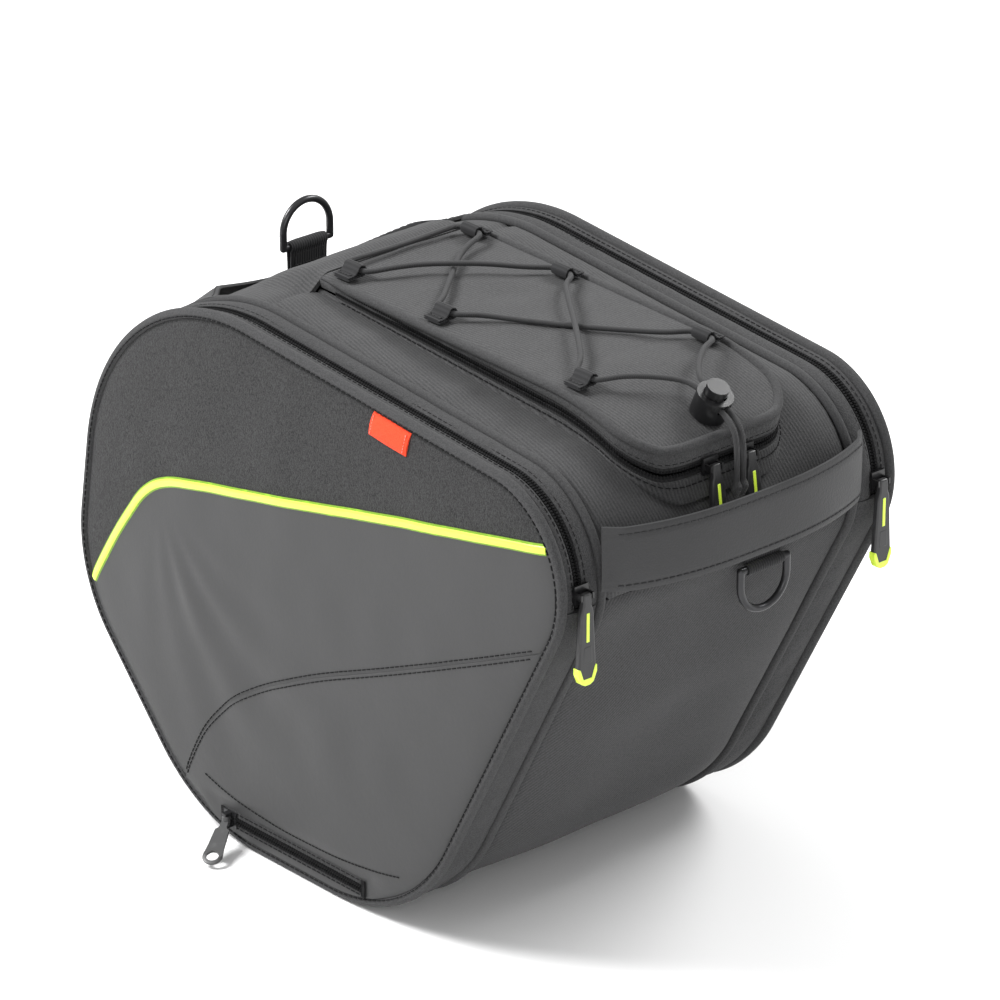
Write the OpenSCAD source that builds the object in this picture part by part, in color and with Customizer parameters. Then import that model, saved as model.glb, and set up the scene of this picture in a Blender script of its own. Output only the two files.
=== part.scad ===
// Soft tunnel bag for a scooter: a main compartment under a laced lid, two zipped side
// pockets, a carrying strap and an anchor ring at each end.
// +X is the front end, +Y is the left side, +Z is up. The origin is under the bag's middle.

/* [Bag] */
// Length of the side outline, front to back
bag_l = 380; // [340:5:420]
// Width over the outer faces of both side pockets
bag_w = 230; // [200:5:270]
// Height of the side outline at its highest point
bag_h = 300; // [270:5:340]
// How much lower the front of the top is than the rear
top_drop = 18; // [5:1:30]

/* [Outline radii] */
// Front shoulder, where the top turns down to the front end
front_r = 55; // [45:1:65]
// Rear shoulder
rear_r = 125; // [100:1:140]
// Rear belly, the furthest point back
belly_r = 85; // [60:1:100]
// Both turns from the base into the ends
base_r = 106; // [80:1:115]
// Distance between the centres of the two base turns
base_flat = 60; // [40:1:90]

/* [Cloth] */
// Thickness of a padded outer panel
panel_t = 3; // [2:0.5:5]
// Thickness of a pocket face with its foam
face_t = 4; // [2.5:0.5:6]
// Thickness of a single cloth strip
strip_t = 2; // [1:0.5:3]
// Depth of a side pocket, from divider to face
pocket_d = 22.5; // [18:0.5:30]
// Thickness of the foam divider behind each pocket
divider_t = 4; // [2:0.5:6]
// Width of the piping along a seam
piping_w = 5; // [3:0.5:6]

/* [Lid] */
// Width of the lid
lid_w = 106; // [90:1:120]
// Radius of the two front corners of the lid
lid_corner_r = 28; // [20:1:40]
// Height of the lid's own wall, over the zip
lid_wall_h = 9; // [7:0.5:12]

/* [Zips] */
// Free gap between the two rows of teeth
zip_gap = 1.6; // [1.4:0.1:2]
// Length of a slider
slider_l = 10; // [8:0.5:12]
// Width of a slider
slider_w = 9; // [7:0.5:10]
// Length of a moulded puller, from its pivot
puller_l = 47; // [35:1:55]
// Width of a moulded puller
puller_w = 12; // [8:0.5:13]
// Length of a plain metal pull
pull_tab_l = 30; // [24:1:36]

/* [Webbing] */
// Width of the webbing that holds a D-ring
webbing_w = 25; // [20:1:30]
// Wire diameter of a D-ring
ring_wire = 4; // [3:0.5:5]
// Width of a carrying strap
handle_w = 34; // [28:1:40]
// Thickness of a carrying strap
handle_t = 3; // [2:0.5:4]
// How far the middle of the front strap stands out from its ends
handle_bow = 17; // [14:1:24]

/* [Lacing] */
// Diameter of the elastic cord
cord_d = 3; // [2.5:0.25:3.5]
// Diameter of the cord lock's barrel
lock_d = 19; // [17:0.5:22]
// Height of the cord lock's barrel
lock_h = 13; // [11:0.5:16]
// Travel of the cord lock's button
button_travel = 3; // [2:0.5:4]

/* [Hidden] */

far = 600;           // larger than the bag
fine = 40;           // facets of a small round piece
arc_steps = 10;      // straight runs in each turn of the outline
clear = 0.3;         // gap between pieces that move past each other

// Side outline: five circles joined by their outer tangents, [x, z, radius]
rear_x = -0.155 * bag_l;
belly_z = 0.467 * bag_h;
base_x = -0.1226 * bag_l;
circles = [
    [base_x, base_r, base_r],
    [base_x + base_flat, base_r, base_r],
    [bag_l / 2 - front_r, bag_h - top_drop - front_r, front_r],
    [rear_x, bag_h - rear_r, rear_r],
    [-bag_l / 2 + belly_r, belly_z, belly_r]];
circle_n = len(circles);
front_c = circles[2];
rear_c = circles[3];

// Direction of the outward normal of the tangent from circle i to the next one
function tangent_dir(i) =
    let (a = circles[(i + circle_n) % circle_n], b = circles[(i + 1) % circle_n])
    let (dx = b[0] - a[0], dz = b[1] - a[1])
    atan2(dz, dx) - 90 + asin((a[2] - b[2]) / norm([dx, dz]));
function turn_sweep(i) = (tangent_dir(i) - tangent_dir(i - 1) + 720) % 360;
function on_circle(c, dir, d) = [c[0] + (c[2] + d) * cos(dir), c[1] + (c[2] + d) * sin(dir)];
// The outline, grown outward by d
function outline(d) = [
    for (i = [0 : circle_n - 1])
        for (k = [0 : arc_steps])
            on_circle(circles[i], tangent_dir(i - 1) + turn_sweep(i) * k / arc_steps, d)];

// Depths below the outline's crown
skin_out = -3;
skin_in = skin_out - panel_t;
strip_in = skin_out - strip_t;
inside = -6;         // inner edge of a piping ring
tape_t = 1.2;
tape_mid = skin_out - strip_t / 2;
teeth_t = 2.2;
teeth_w = 1.5;

// Places across the bag, measured from its middle
face_y = bag_w / 2;
gusset_y1 = face_y - piping_w - 1;
body_y = face_y - face_t - pocket_d - divider_t - 0.5;
divider_y = body_y + divider_t;
gusset_y0 = body_y + piping_w;
zip_y = gusset_y1 - 7.5;
tape_w = 4.7;

// Heights
base_seam_z = 12;
end_seam_z = 217;
fold_z = 219;
fold_gap = 0.15;
rear_seam_z = 232;

// Lid: its plan, its top line and its zip line
lid_x0 = rear_x - 3;
lid_x1 = bag_l / 2 - 7;
lid_half = lid_w / 2;
lid_z = bag_h + 7;
lid_slope = 5;
lid_arc_r = 150;
lid_bend_x = lid_x1 - 75;
lid_wall_t = 2.5;
lid_sheet_t = 3;
lid_foam_t = 4;
lid_foam_inset = 6;
lid_piping_out = 1.5;
zip_drop_rear = 5;
zip_drop_front = 15;
tape_out = -(lid_wall_t - tape_t) / 2;
tape_in = tape_out - tape_t;
line_steps = 12;
lid_flat_x = lid_x1 - 4;
line_x = [lid_x0 - 1, for (k = [0 : line_steps]) lid_bend_x + (lid_flat_x - lid_bend_x) * k / line_steps];
function lid_top_z(x) =
    let (run = (min(x, lid_bend_x) - lid_x0) / (lid_bend_x - lid_x0), over = max(0, x - lid_bend_x))
    lid_z - lid_slope * run - lid_arc_r + sqrt(pow(lid_arc_r, 2) - pow(over, 2));
function drop_at(x, rear, front) = rear + (front - rear) * (x - lid_x0) / (lid_x1 - lid_x0);
function line_z(x, rear, front) = lid_top_z(x) - drop_at(x, rear, front);
lid_zip_z = line_z(lid_flat_x, zip_drop_rear, zip_drop_front);

// Small hardware
neck_w = zip_gap - 0.7;
plate_in = 2.1;
plate_t = 1.6;
plate_out = plate_in + plate_t;
puller_t = 4.4;
pin_r = 1;
eye_r = pin_r + clear;
eye_w = 5.6;
pivot_out = plate_out + 0.6 + puller_t / 2;
post_in = eye_w / 2 + clear;
post_t = 1.2;

// Pieces placed along the outline
slider_dir = 2;
lid_slider_y = 12;
lid_puller_l = 40;
lid_puller_tilt = 8;
bottom_zip_z = 14.6;
bottom_zip_x0 = -72;
bottom_zip_x1 = 42;
bottom_slider_x = -65;
bottom_pull_dir = -57;
pull_tilt = 22;
pull_t = 1.6;
pull_w = 8;

ring_half = 16;
ring_leg = 8;
ring_r = ring_wire / 2;
bar_hole_r = ring_r + clear;
web_t = 1.6;
web_r = bar_hole_r + web_t;
web_patch_h = 16;
front_bar_drop = 11;
front_bar_z = end_seam_z - front_bar_drop;
front_ring_y = 24;
front_bar_d = skin_out + web_t + bar_hole_r + clear;
front_bar_x = front_c[0] + sqrt(pow(front_r + front_bar_d, 2) - pow(front_bar_z - front_c[1], 2));
rear_bar_x = -135;
rear_bar_z = bag_h - 11;

handle_z = bag_h - 57;
handle_end_y = gusset_y0 - 1;
handle_end_x = bag_l / 2 + 3.6;
handle_arc_r = (pow(handle_end_y, 2) + pow(handle_bow, 2)) / (2 * handle_bow);
rear_handle_dir = 138;
rear_handle_sag = 45;
rear_handle_end = -40;
rear_handle_steps = 16;

lock_cord_z = 9.5;
lock_run = 62;
lock_slope = asin(lock_run / lid_arc_r);
lock_cavity_r = lock_d / 2 - 3.3;
lock_floor = 1.5;
button_r = lock_cavity_r - clear;
button_floor = lock_cord_z - cord_d / 2 - 1;
button_rise = 5;
slot_half = cord_d + 1.1;
hinge_free = 12;
spring_h = 1.4;
spring_gap = 0.8;
spring_wall = 1.2;
button_foot = 0.9;
cord_slack = 0.4;

loop_x = [-49, 21, 125];
loop_y = 40;
loop_len = 12;
loop_tab = 9;
loop_hole_r = cord_d / 2 + 0.6;
loop_r = loop_hole_r + web_t;

// Reflective strip and the coated panel's upper seam, on the face, [x, z]
strip_w = 4.5;
strip_end = bag_l / 2 - 12;
strip_line = [[-strip_end, 112], [-154, 150], [-127, 185], [-110, 195], [-85, 201], [72, 233],
    [146, 247], [strip_end, 252]];
seam_line = [[-106, 18], [-90, 51], [-69, 79], [-40, 100], [9, 125], [71, 151], [131, 177], [182, 199]];
overlay_t = 0.8;
overlay_in = inside - 1;
tag_at = [65, 277];
tag_size = [28, 12];
tag_t = 1.2;

// Elastic cord: points chosen along its route over the lid, from one free end to the other
cord_route = [
    [193.5, -2.2, 252], [193.5, -2.2, 263], [193.5, -2.2, 274], [193, -2.2, 281], [190.5, -2.2, 288],
    [183, -2.2, 293.5], [174, -2.2, 297.5], [165.5, -2.2, 301.4], [158, -5, 303.9], [148, -15, 305.5],
    [139, -27, 306.4], [135, -36, 306], [131.8, -39.7, 305.3], [125, -40, 305.2], [118.2, -39.7, 305.3],
    [115, -36.5, 306], [110, -29, 307], [95, -17, 308.2], [73, 0, 308.8], [50, 17, 308.8], [36, 28, 308.6],
    [31, 36, 308.4], [27.8, 39.7, 308.4], [21, 40, 308.4], [14.2, 39.7, 308.4], [11, 36, 308.6],
    [6, 28, 309.4],
    [-7, 13, 311.4], [-18, 0, 311.8], [-29, -13, 311.5], [-36, -26, 310.9], [-39, -36, 310.6],
    [-42.2, -39.7, 310.5], [-49, -40, 310.5], [-55.8, -39.7, 310.5], [-58.6, -37, 310.5], [-59.3, -30, 310.2],
    [-59.3, 0, 309.4], [-59.3, 30, 310.2], [-58.6, 37, 310.5], [-55.8, 39.7, 310.5], [-49, 40, 310.5],
    [-42.2, 39.7, 310.5], [-39, 36, 310.4], [-36, 26, 309.7], [-29, 13, 308.4], [-18, 0, 308.1],
    [-7, -13, 308], [6, -28, 308.1], [11, -36, 308.3], [14.2, -39.7, 308.4], [21, -40, 308.4],
    [27.8, -39.7, 308.4], [31, -36, 308.2], [36, -28, 307.4], [50, -17, 306], [73, 0, 305], [95, 17, 304.8],
    [110, 29, 305], [115, 36.5, 305.2], [118.2, 39.7, 305.2], [125, 40, 305.2], [131.8, 39.7, 305.3],
    [135, 36, 306], [139, 27, 306.4], [148, 15, 305.5], [158, 5, 303.9], [165.5, 2.2, 301.4],
    [174, 2.2, 297.5], [183, 2.2, 293.5], [190.5, 2.2, 288], [193, 2.2, 281], [193.5, 2.2, 274],
    [193.5, 2.2, 263], [193.5, 2.2, 252]];
cord_sides = 8;
cord_ref = [0.5, -0.5, 0.7];

charcoal = "#4a4a4c";
grey = "#5d5d60";
dark = "#2c2c2e";
black = "#19191b";
neon = "#c8f03c";
red = "#e0452c";
foam = "#7d7d80";

// ---------------------------------------------------------------- building blocks
module slab(y0, y1, d) {
    translate([0, y1, 0]) rotate([90, 0, 0]) linear_extrude(y1 - y0) polygon(outline(d));
}

module band(y0, y1, d_out, d_in) {
    translate([0, y1, 0]) rotate([90, 0, 0]) linear_extrude(y1 - y0) difference() {
        polygon(outline(d_out));
        polygon(outline(d_in));
    }
}

module above(z) {
    translate([-far, -far, z]) cube(2 * far);
}

module below(z) {
    translate([-far, -far, z - 2 * far]) cube(2 * far);
}

module ahead(x) {
    translate([x, -far, -far]) cube(2 * far);
}

module behind(x) {
    translate([x - 2 * far, -far, -far]) cube(2 * far);
}

module left() {
    mirror([0, 1, 0]) children();
}

module both() {
    children();
    left() children();
}

// Extrudes a shape drawn in X and Z from y0 to y1
module across(y0, y1) {
    translate([0, y1, 0]) rotate([90, 0, 0]) linear_extrude(y1 - y0) children();
}

// Lid's plan, grown by d, as a tall prism
module lid_prism(d) {
    r = lid_corner_r + d;
    cx = lid_x1 - lid_corner_r;
    cy = lid_half - lid_corner_r;
    side = lid_half + d;
    translate([0, 0, bag_h / 2]) linear_extrude(bag_h) polygon([
        [lid_x0 - d, -side],
        for (a = [-90 : 10 : 0]) [cx + r * cos(a), -cy + r * sin(a)],
        for (a = [0 : 10 : 90]) [cx + r * cos(a), cy + r * sin(a)],
        [lid_x0 - d, side]]);
}

// Everything under the lid's top line, lowered by a drop that grows from rear to front.
// The line is level along the front wall, where the zip sliders run.
module under_lid(rear, front) {
    across(-bag_w / 2, bag_w / 2) polygon([
        [lid_x0 - 1, bag_h / 2],
        for (x = line_x) [x, line_z(x, rear, front)],
        [lid_x1 + 8, line_z(lid_flat_x, rear, front)],
        [lid_x1 + 8, bag_h / 2]]);
}

module lid_layer(rear_top, front_top, rear_low, front_low) {
    difference() {
        intersection() {
            children();
            under_lid(rear_top, front_top);
        }
        under_lid(rear_low, front_low);
    }
}

module lid_ring(d_out, d_in) {
    difference() {
        lid_prism(d_out);
        lid_prism(d_in);
    }
}

// A band of even width along a line of points in X and Z
function unit(v) = v / norm(v);
function side_dir(p, i) =
    let (a = p[max(i - 1, 0)], b = p[min(i + 1, len(p) - 1)], t = unit(b - a))
    [-t[1], t[0]];
function band_points(p, w) = concat(
    [for (i = [0 : len(p) - 1]) p[i] + side_dir(p, i) * w / 2],
    [for (i = [len(p) - 1 : -1 : 0]) p[i] - side_dir(p, i) * w / 2]);

// Slider in its own frame: X out of the cloth, Y across the zip, Z along it
module slider_body() {
    for (x = [plate_in, -plate_out])
        translate([x, -slider_w / 2, -slider_l / 2]) cube([plate_t, slider_w, slider_l]);
    translate([-plate_in - 0.1, -neck_w / 2, slider_l / 2 - 3]) cube([2 * plate_in + 0.2, neck_w, 3]);
}

// Two posts and a pin along Y that carry a puller's eye
module bail() {
    for (s = [-1, 1])
        translate([plate_out - 0.1, s * (post_in + post_t / 2) - post_t / 2, -1.6])
            cube([pivot_out - plate_out + 1.7, post_t, 3.2]);
    translate([pivot_out, post_in + post_t - 0.1, 0]) rotate([90, 0, 0])
        cylinder(r = pin_r, h = 2 * (post_in + post_t - 0.1), $fn = fine);
}

// Puller in its own frame: its eye is on the Y axis and it hangs down
module puller(length) {
    difference() {
        union() {
            translate([0, eye_w / 2, 0]) rotate([90, 0, 0]) cylinder(d = puller_t, h = eye_w, $fn = fine);
            translate([-puller_t / 2, -eye_w / 2, -7]) cube([puller_t, eye_w, 7]);
            translate([-puller_t / 2, -puller_w / 2, -length + puller_w / 4])
                cube([puller_t, puller_w, length - 6 - puller_w / 4]);
            translate([-puller_t / 2, -puller_w / 4, -length])
                cube([puller_t, puller_w / 2, puller_w / 4 + 1]);
        }
        translate([0, eye_w, 0]) rotate([90, 0, 0]) cylinder(r = eye_r, h = 2 * eye_w, $fn = fine);
    }
}

// D-ring in its own frame: its bar lies on the Y axis and the bow hangs down
module d_ring() {
    translate([0, ring_half, 0]) rotate([90, 0, 0]) cylinder(r = ring_r, h = 2 * ring_half, $fn = fine);
    for (s = [-1, 1]) {
        translate([0, s * ring_half, -ring_leg]) cylinder(r = ring_r, h = ring_leg, $fn = fine);
        translate([0, s * ring_half, 0]) sphere(r = ring_r, $fn = fine);
    }
    translate([0, 0, -ring_leg]) rotate([0, 0, 90]) rotate([-90, 0, 0])
        rotate_extrude(angle = 180, $fn = fine) translate([ring_half, 0]) circle(r = ring_r, $fn = fine);
}

module web_loop() {
    rotate([90, 0, 0]) translate([0, 0, -webbing_w / 2]) cylinder(r = web_r, h = webbing_w, $fn = fine);
}

module web_hole() {
    rotate([90, 0, 0]) translate([0, 0, -webbing_w]) cylinder(r = bar_hole_r, h = 2 * webbing_w, $fn = fine);
}

// Frame that stands on the lid's curved front, under the cord lock
module on_lid_front() {
    translate([lid_bend_x, 0, lid_z - lid_slope - lid_arc_r]) rotate([0, lock_slope, 0])
        translate([0, 0, lid_arc_r + clear]) children();
}

// Ring of points round the cord at point i of its route
function cord_dir(i) =
    unit(cord_route[min(i + 1, len(cord_route) - 1)] - cord_route[max(i - 1, 0)]);
function cord_ring(i) =
    let (t = cord_dir(i), u = unit(cross(t, cord_ref)), v = cross(t, u))
    [for (k = [0 : cord_sides - 1])
        cord_route[i] + cord_d / 2 * (u * cos(k * 360 / cord_sides) + v * sin(k * 360 / cord_sides))];

// ---------------------------------------------------------------- body
module base_panel() {
    color(dark) intersection() {
        band(-body_y, body_y, 0, skin_in);
        below(base_seam_z);
    }
}

module base_board() {
    color(foam) intersection() {
        band(-body_y + 2, body_y - 2, skin_in - clear, skin_in - clear - 3);
        below(base_seam_z + 4);
    }
}

module end_cloth(z0, z1) {
    intersection() {
        band(-body_y, body_y, skin_out, skin_in);
        above(z0);
        below(z1);
    }
}

module front_lower_panel() {
    color(charcoal) intersection() {
        end_cloth(base_seam_z, end_seam_z);
        ahead(0);
    }
}

module rear_end_panel() {
    color(charcoal) intersection() {
        end_cloth(base_seam_z, rear_seam_z);
        behind(0);
    }
}

module front_upper_panel() {
    color(charcoal) difference() {
        intersection() {
            end_cloth(end_seam_z, far);
            ahead(lid_x1 - lid_corner_r);
        }
        lid_prism(tape_in);
    }
}

module top_rim_panel() {
    color(charcoal) difference() {
        intersection() {
            end_cloth(end_seam_z, far);
            ahead(lid_x0);
            behind(lid_x1 - lid_corner_r);
        }
        lid_prism(tape_in);
    }
}

// The rear top rises to the lid's hinge line
module top_rear_panel() {
    color(charcoal) {
        intersection() {
            end_cloth(rear_seam_z, far);
            behind(lid_x0);
        }
        difference() {
            across(-lid_half, lid_half) polygon([
                [lid_x0 - 60, bag_h - 30], [lid_x0 - 52, bag_h - 14], [lid_x0 - 28, lid_z - 7],
                [lid_x0, lid_z], [lid_x0, bag_h - 30]]);
            slab(-bag_w, bag_w, skin_out - 0.1);
        }
    }
}

module lid_zip_lower() {
    color(black) intersection() {
        ahead(lid_x0 + hinge_free);
        above(front_c[1]);
        difference() {
            union() {
                intersection() {
                    lid_ring(tape_out, tape_in);
                    under_lid(zip_drop_rear + zip_gap / 2, zip_drop_front + zip_gap / 2);
                }
                lid_layer(zip_drop_rear + zip_gap / 2, zip_drop_front + zip_gap / 2,
                    zip_drop_rear + zip_gap / 2 + teeth_w, zip_drop_front + zip_gap / 2 + teeth_w)
                    lid_ring(tape_out + 0.5, tape_in - 0.5);
            }
            slab(-bag_w, bag_w, skin_out);
        }
    }
}

module right_divider() {
    color(foam) slab(-divider_y, -body_y, inside);
}

module left_divider() {
    left() right_divider();
}

module right_body_piping() {
    color(charcoal) band(-gusset_y0, -body_y, 0, inside);
}

module left_body_piping() {
    left() right_body_piping();
}

module pocket_gussets() {
    color(charcoal) both() intersection() {
        band(-gusset_y1, -gusset_y0, skin_out, strip_in);
        below(fold_z - fold_gap);
    }
}

module inner_gussets() {
    color(charcoal) both() intersection() {
        band(-zip_y + zip_gap / 2 + tape_w, -gusset_y0, skin_out, strip_in);
        above(fold_z - fold_gap);
    }
}

// One half of a pocket zip, on the side given by s: -1 toward the face, 1 toward the body
module pocket_tape(s) {
    edge = -zip_y + s * zip_gap / 2;
    tape = sort_pair(edge, edge + s * tape_w);
    teeth = sort_pair(edge, edge + s * teeth_w);
    band(tape[0], tape[1], tape_mid + tape_t / 2, tape_mid - tape_t / 2);
    band(teeth[0], teeth[1], tape_mid + teeth_t / 2, tape_mid - teeth_t / 2);
}

function sort_pair(a, b) = [min(a, b), max(a, b)];

module inner_zips() {
    color(black) both() intersection() {
        pocket_tape(1);
        above(fold_z - fold_gap);
    }
}

module face_sheet() {
    slab(-face_y, -face_y + face_t, inside);
}

module bottom_window() {
    translate([bottom_zip_x0, -face_y - 5, bottom_zip_z - 5])
        cube([bottom_zip_x1 - bottom_zip_x0, 5 + face_t + 1, 10]);
}

module left_face_lower() {
    color(grey) left() intersection() {
        face_sheet();
        below(fold_z - fold_gap);
    }
}

module right_face_lower() {
    color(grey) difference() {
        intersection() {
            face_sheet();
            below(fold_z - fold_gap);
        }
        bottom_window();
    }
}

module face_piping_ring() {
    band(-face_y, -gusset_y1, 0, inside);
}

module right_lower_piping() {
    color(charcoal) intersection() {
        face_piping_ring();
        below(fold_z - fold_gap);
    }
}

module left_lower_piping() {
    left() right_lower_piping();
}

module coated_sheet() {
    intersection() {
        slab(-face_y - overlay_t, -face_y, overlay_in);
        across(-face_y - 2, -face_y + 2) polygon(concat(seam_line, [[far, 199], [far, -10], [-106, -10]]));
    }
}

module coated_panels() {
    color(grey) {
        difference() {
            coated_sheet();
            bottom_window();
        }
        left() coated_sheet();
    }
}

module strip_sheet() {
    intersection() {
        across(-face_y - overlay_t, -face_y) polygon(band_points(strip_line, strip_w));
        slab(-face_y - 2, -face_y, inside);
    }
}

module strips_lower() {
    color(neon) both() intersection() {
        strip_sheet();
        below(fold_z - fold_gap);
    }
}

module bottom_zip() {
    color(black) for (s = [-1, 1]) {
        edge = bottom_zip_z + s * zip_gap / 2;
        tape = sort_pair(edge, edge + s * 4);
        teeth = sort_pair(edge, edge + s * teeth_w);
        intersection() {
            union() {
                translate([bottom_zip_x0, -face_y + (face_t - tape_t) / 2, tape[0]])
                    cube([bottom_zip_x1 - bottom_zip_x0, tape_t, tape[1] - tape[0]]);
                translate([bottom_zip_x0, -face_y + (face_t - teeth_t) / 2, teeth[0]])
                    cube([bottom_zip_x1 - bottom_zip_x0, teeth_t, teeth[1] - teeth[0]]);
            }
            slab(-face_y, 0, inside);
        }
    }
}

module front_ring_webbing() {
    color(black) translate([0, front_ring_y, 0]) difference() {
        union() {
            intersection() {
                band(-webbing_w / 2, webbing_w / 2, skin_out + web_t, skin_out);
                above(front_bar_z - web_patch_h);
                below(end_seam_z);
                ahead(0);
            }
            translate([front_bar_x, 0, front_bar_z]) web_loop();
        }
        translate([front_bar_x, 0, front_bar_z]) web_hole();
        slab(-bag_w, bag_w, skin_out);
    }
}

module rear_ring_webbing() {
    color(black) difference() {
        union() {
            translate([rear_bar_x - web_t, -webbing_w / 2, bag_h - 50])
                cube([2 * web_t, webbing_w, rear_bar_z - bag_h + 50]);
            translate([rear_bar_x, 0, rear_bar_z]) web_loop();
        }
        translate([rear_bar_x, 0, rear_bar_z]) web_hole();
        slab(-bag_w, bag_w, skin_out);
    }
}

// ---------------------------------------------------------------- pocket flaps
module flap_cut() {
    intersection() {
        children();
        above(fold_z + fold_gap);
    }
}

module right_face_upper() {
    color(charcoal) flap_cut() face_sheet();
}

module right_face_piping() {
    color(charcoal) flap_cut() face_piping_ring();
}

module right_outer_gusset() {
    color(charcoal) flap_cut() band(-gusset_y1, -zip_y - zip_gap / 2 - tape_w, skin_out, strip_in);
}

module right_outer_zip() {
    color(black) flap_cut() pocket_tape(-1);
}

module right_strip_upper() {
    color(neon) flap_cut() strip_sheet();
}

module right_tag() {
    color(red) translate([tag_at[0], -face_y - tag_t, tag_at[1]])
        translate([-tag_size[0] / 2, 0, -tag_size[1] / 2]) cube([tag_size[0], tag_t, tag_size[1]]);
}

module left_face_upper() {
    left() right_face_upper();
}

module left_face_piping() {
    left() right_face_piping();
}

module left_outer_gusset() {
    left() right_outer_gusset();
}

module left_outer_zip() {
    left() right_outer_zip();
}

module left_strip_upper() {
    left() right_strip_upper();
}

// ---------------------------------------------------------------- lid
module lid_top() {
    color(charcoal) intersection() {
        lid_layer(0, 0, lid_sheet_t, lid_sheet_t) lid_prism(0);
        ahead(lid_x0 + clear);
    }
}

module lid_wall() {
    color(charcoal) intersection() {
        lid_layer(lid_sheet_t, lid_sheet_t, zip_drop_rear - zip_gap / 2 - tape_w,
            zip_drop_front - zip_gap / 2 - tape_w) lid_ring(0, -lid_wall_t);
        ahead(lid_x0 + hinge_free);
    }
}

module lid_piping() {
    color(charcoal) intersection() {
        lid_layer(1, 1, 4.5, 4.5) lid_ring(lid_piping_out, 0);
        ahead(lid_x0 + hinge_free);
    }
}

module lid_foam() {
    color(foam) intersection() {
        lid_layer(lid_sheet_t, lid_sheet_t, lid_sheet_t + lid_foam_t, lid_sheet_t + lid_foam_t)
            lid_prism(-lid_foam_inset);
        ahead(lid_x0 + clear);
    }
}

module lid_zip_upper() {
    upper = zip_drop_rear - zip_gap / 2;
    front = zip_drop_front - zip_gap / 2;
    color(black) intersection() {
        ahead(lid_x0 + hinge_free);
        under_lid(lid_sheet_t, lid_sheet_t);
        union() {
            lid_layer(upper - tape_w, front - tape_w, upper, front) lid_ring(tape_out, tape_in);
            lid_layer(upper - teeth_w, front - teeth_w, upper, front) lid_ring(tape_out + 0.5, tape_in - 0.5);
        }
    }
}

module cord_loop(x) {
    z = lid_top_z(x - loop_len / 2) + loop_r;
    difference() {
        union() {
            translate([x - loop_len / 2, 0, z]) rotate([0, 90, 0])
                cylinder(r = loop_r, h = loop_len, $fn = fine);
            translate([x - loop_len / 2, 0, z - loop_r]) cube([loop_len, loop_tab, 2 * web_t]);
        }
        translate([x - loop_len, 0, z]) rotate([0, 90, 0])
            cylinder(r = loop_hole_r, h = 2 * loop_len, $fn = fine);
    }
}

module bungee_loops() {
    color(black) both() for (x = loop_x) translate([0, loop_y, 0]) cord_loop(x);
}

module bungee_cord() {
    n = len(cord_route);
    color(dark) polyhedron(
        points = [for (i = [0 : n - 1]) each cord_ring(i)],
        faces = concat(
            [[for (k = [0 : cord_sides - 1]) k]],
            [for (i = [0 : n - 2]) for (k = [0 : cord_sides - 1]) [
                i * cord_sides + k, (i + 1) * cord_sides + k,
                (i + 1) * cord_sides + (k + 1) % cord_sides, i * cord_sides + (k + 1) % cord_sides]],
            [[for (k = [cord_sides - 1 : -1 : 0]) (n - 1) * cord_sides + k]]));
}

module cord_lock_barrel() {
    color(black) on_lid_front() difference() {
        cylinder(d = lock_d, h = lock_h, $fn = fine);
        translate([0, 0, lock_floor]) cylinder(r = lock_cavity_r, h = lock_h, $fn = fine);
        translate([-lock_d, -slot_half, lock_cord_z - cord_d / 2 - cord_slack])
            cube([2 * lock_d, 2 * slot_half, cord_d + 2 * cord_slack]);
    }
}

module cord_lock_button() {
    color(dark) on_lid_front() difference() {
        translate([0, 0, button_floor - button_foot])
            cylinder(r = button_r, h = lock_h + button_rise - button_floor + button_foot, $fn = fine);
        translate([-lock_d, -slot_half, button_floor])
            cube([2 * lock_d, 2 * slot_half, cord_d + 1 + cord_slack + button_travel]);
    }
}

module cord_lock_spring() {
    color("silver") on_lid_front() translate([0, 0, lock_floor]) difference() {
        cylinder(r = lock_cavity_r - spring_gap, h = spring_h, $fn = fine);
        translate([0, 0, -1])
            cylinder(r = lock_cavity_r - spring_gap - spring_wall, h = spring_h + 2, $fn = fine);
    }
}

// ---------------------------------------------------------------- sliders and pullers
module at_pocket_slider() {
    p = on_circle(front_c, slider_dir, tape_mid);
    translate([p[0], -zip_y, p[1]]) rotate([0, -slider_dir, 0]) children();
}

module right_pocket_slider() {
    color(black) at_pocket_slider() {
        slider_body();
        bail();
    }
}

module right_pocket_puller() {
    p = on_circle(front_c, slider_dir, tape_mid + pivot_out);
    color(dark) translate([p[0], -zip_y, p[1]]) puller(puller_l);
}

module left_pocket_slider() {
    left() right_pocket_slider();
}

module left_pocket_puller() {
    left() right_pocket_puller();
}

module right_lid_slider() {
    color(black) translate([lid_x1 + (tape_out + tape_in) / 2, -lid_slider_y, lid_zip_z]) {
        rotate([-90, 0, 0]) slider_body();
        bail();
    }
}

module right_lid_puller() {
    color(dark) translate([lid_x1 + (tape_out + tape_in) / 2 + pivot_out, -lid_slider_y, lid_zip_z])
        rotate([0, -lid_puller_tilt, 0]) puller(lid_puller_l);
}

module left_lid_slider() {
    left() right_lid_slider();
}

module left_lid_puller() {
    left() right_lid_puller();
}

module bottom_slider() {
    color(black) translate([bottom_slider_x, -face_y + face_t / 2, bottom_zip_z])
        rotate([0, 0, -90]) rotate([90, 0, 0]) {
            slider_body();
            bail();
        }
}

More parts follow.
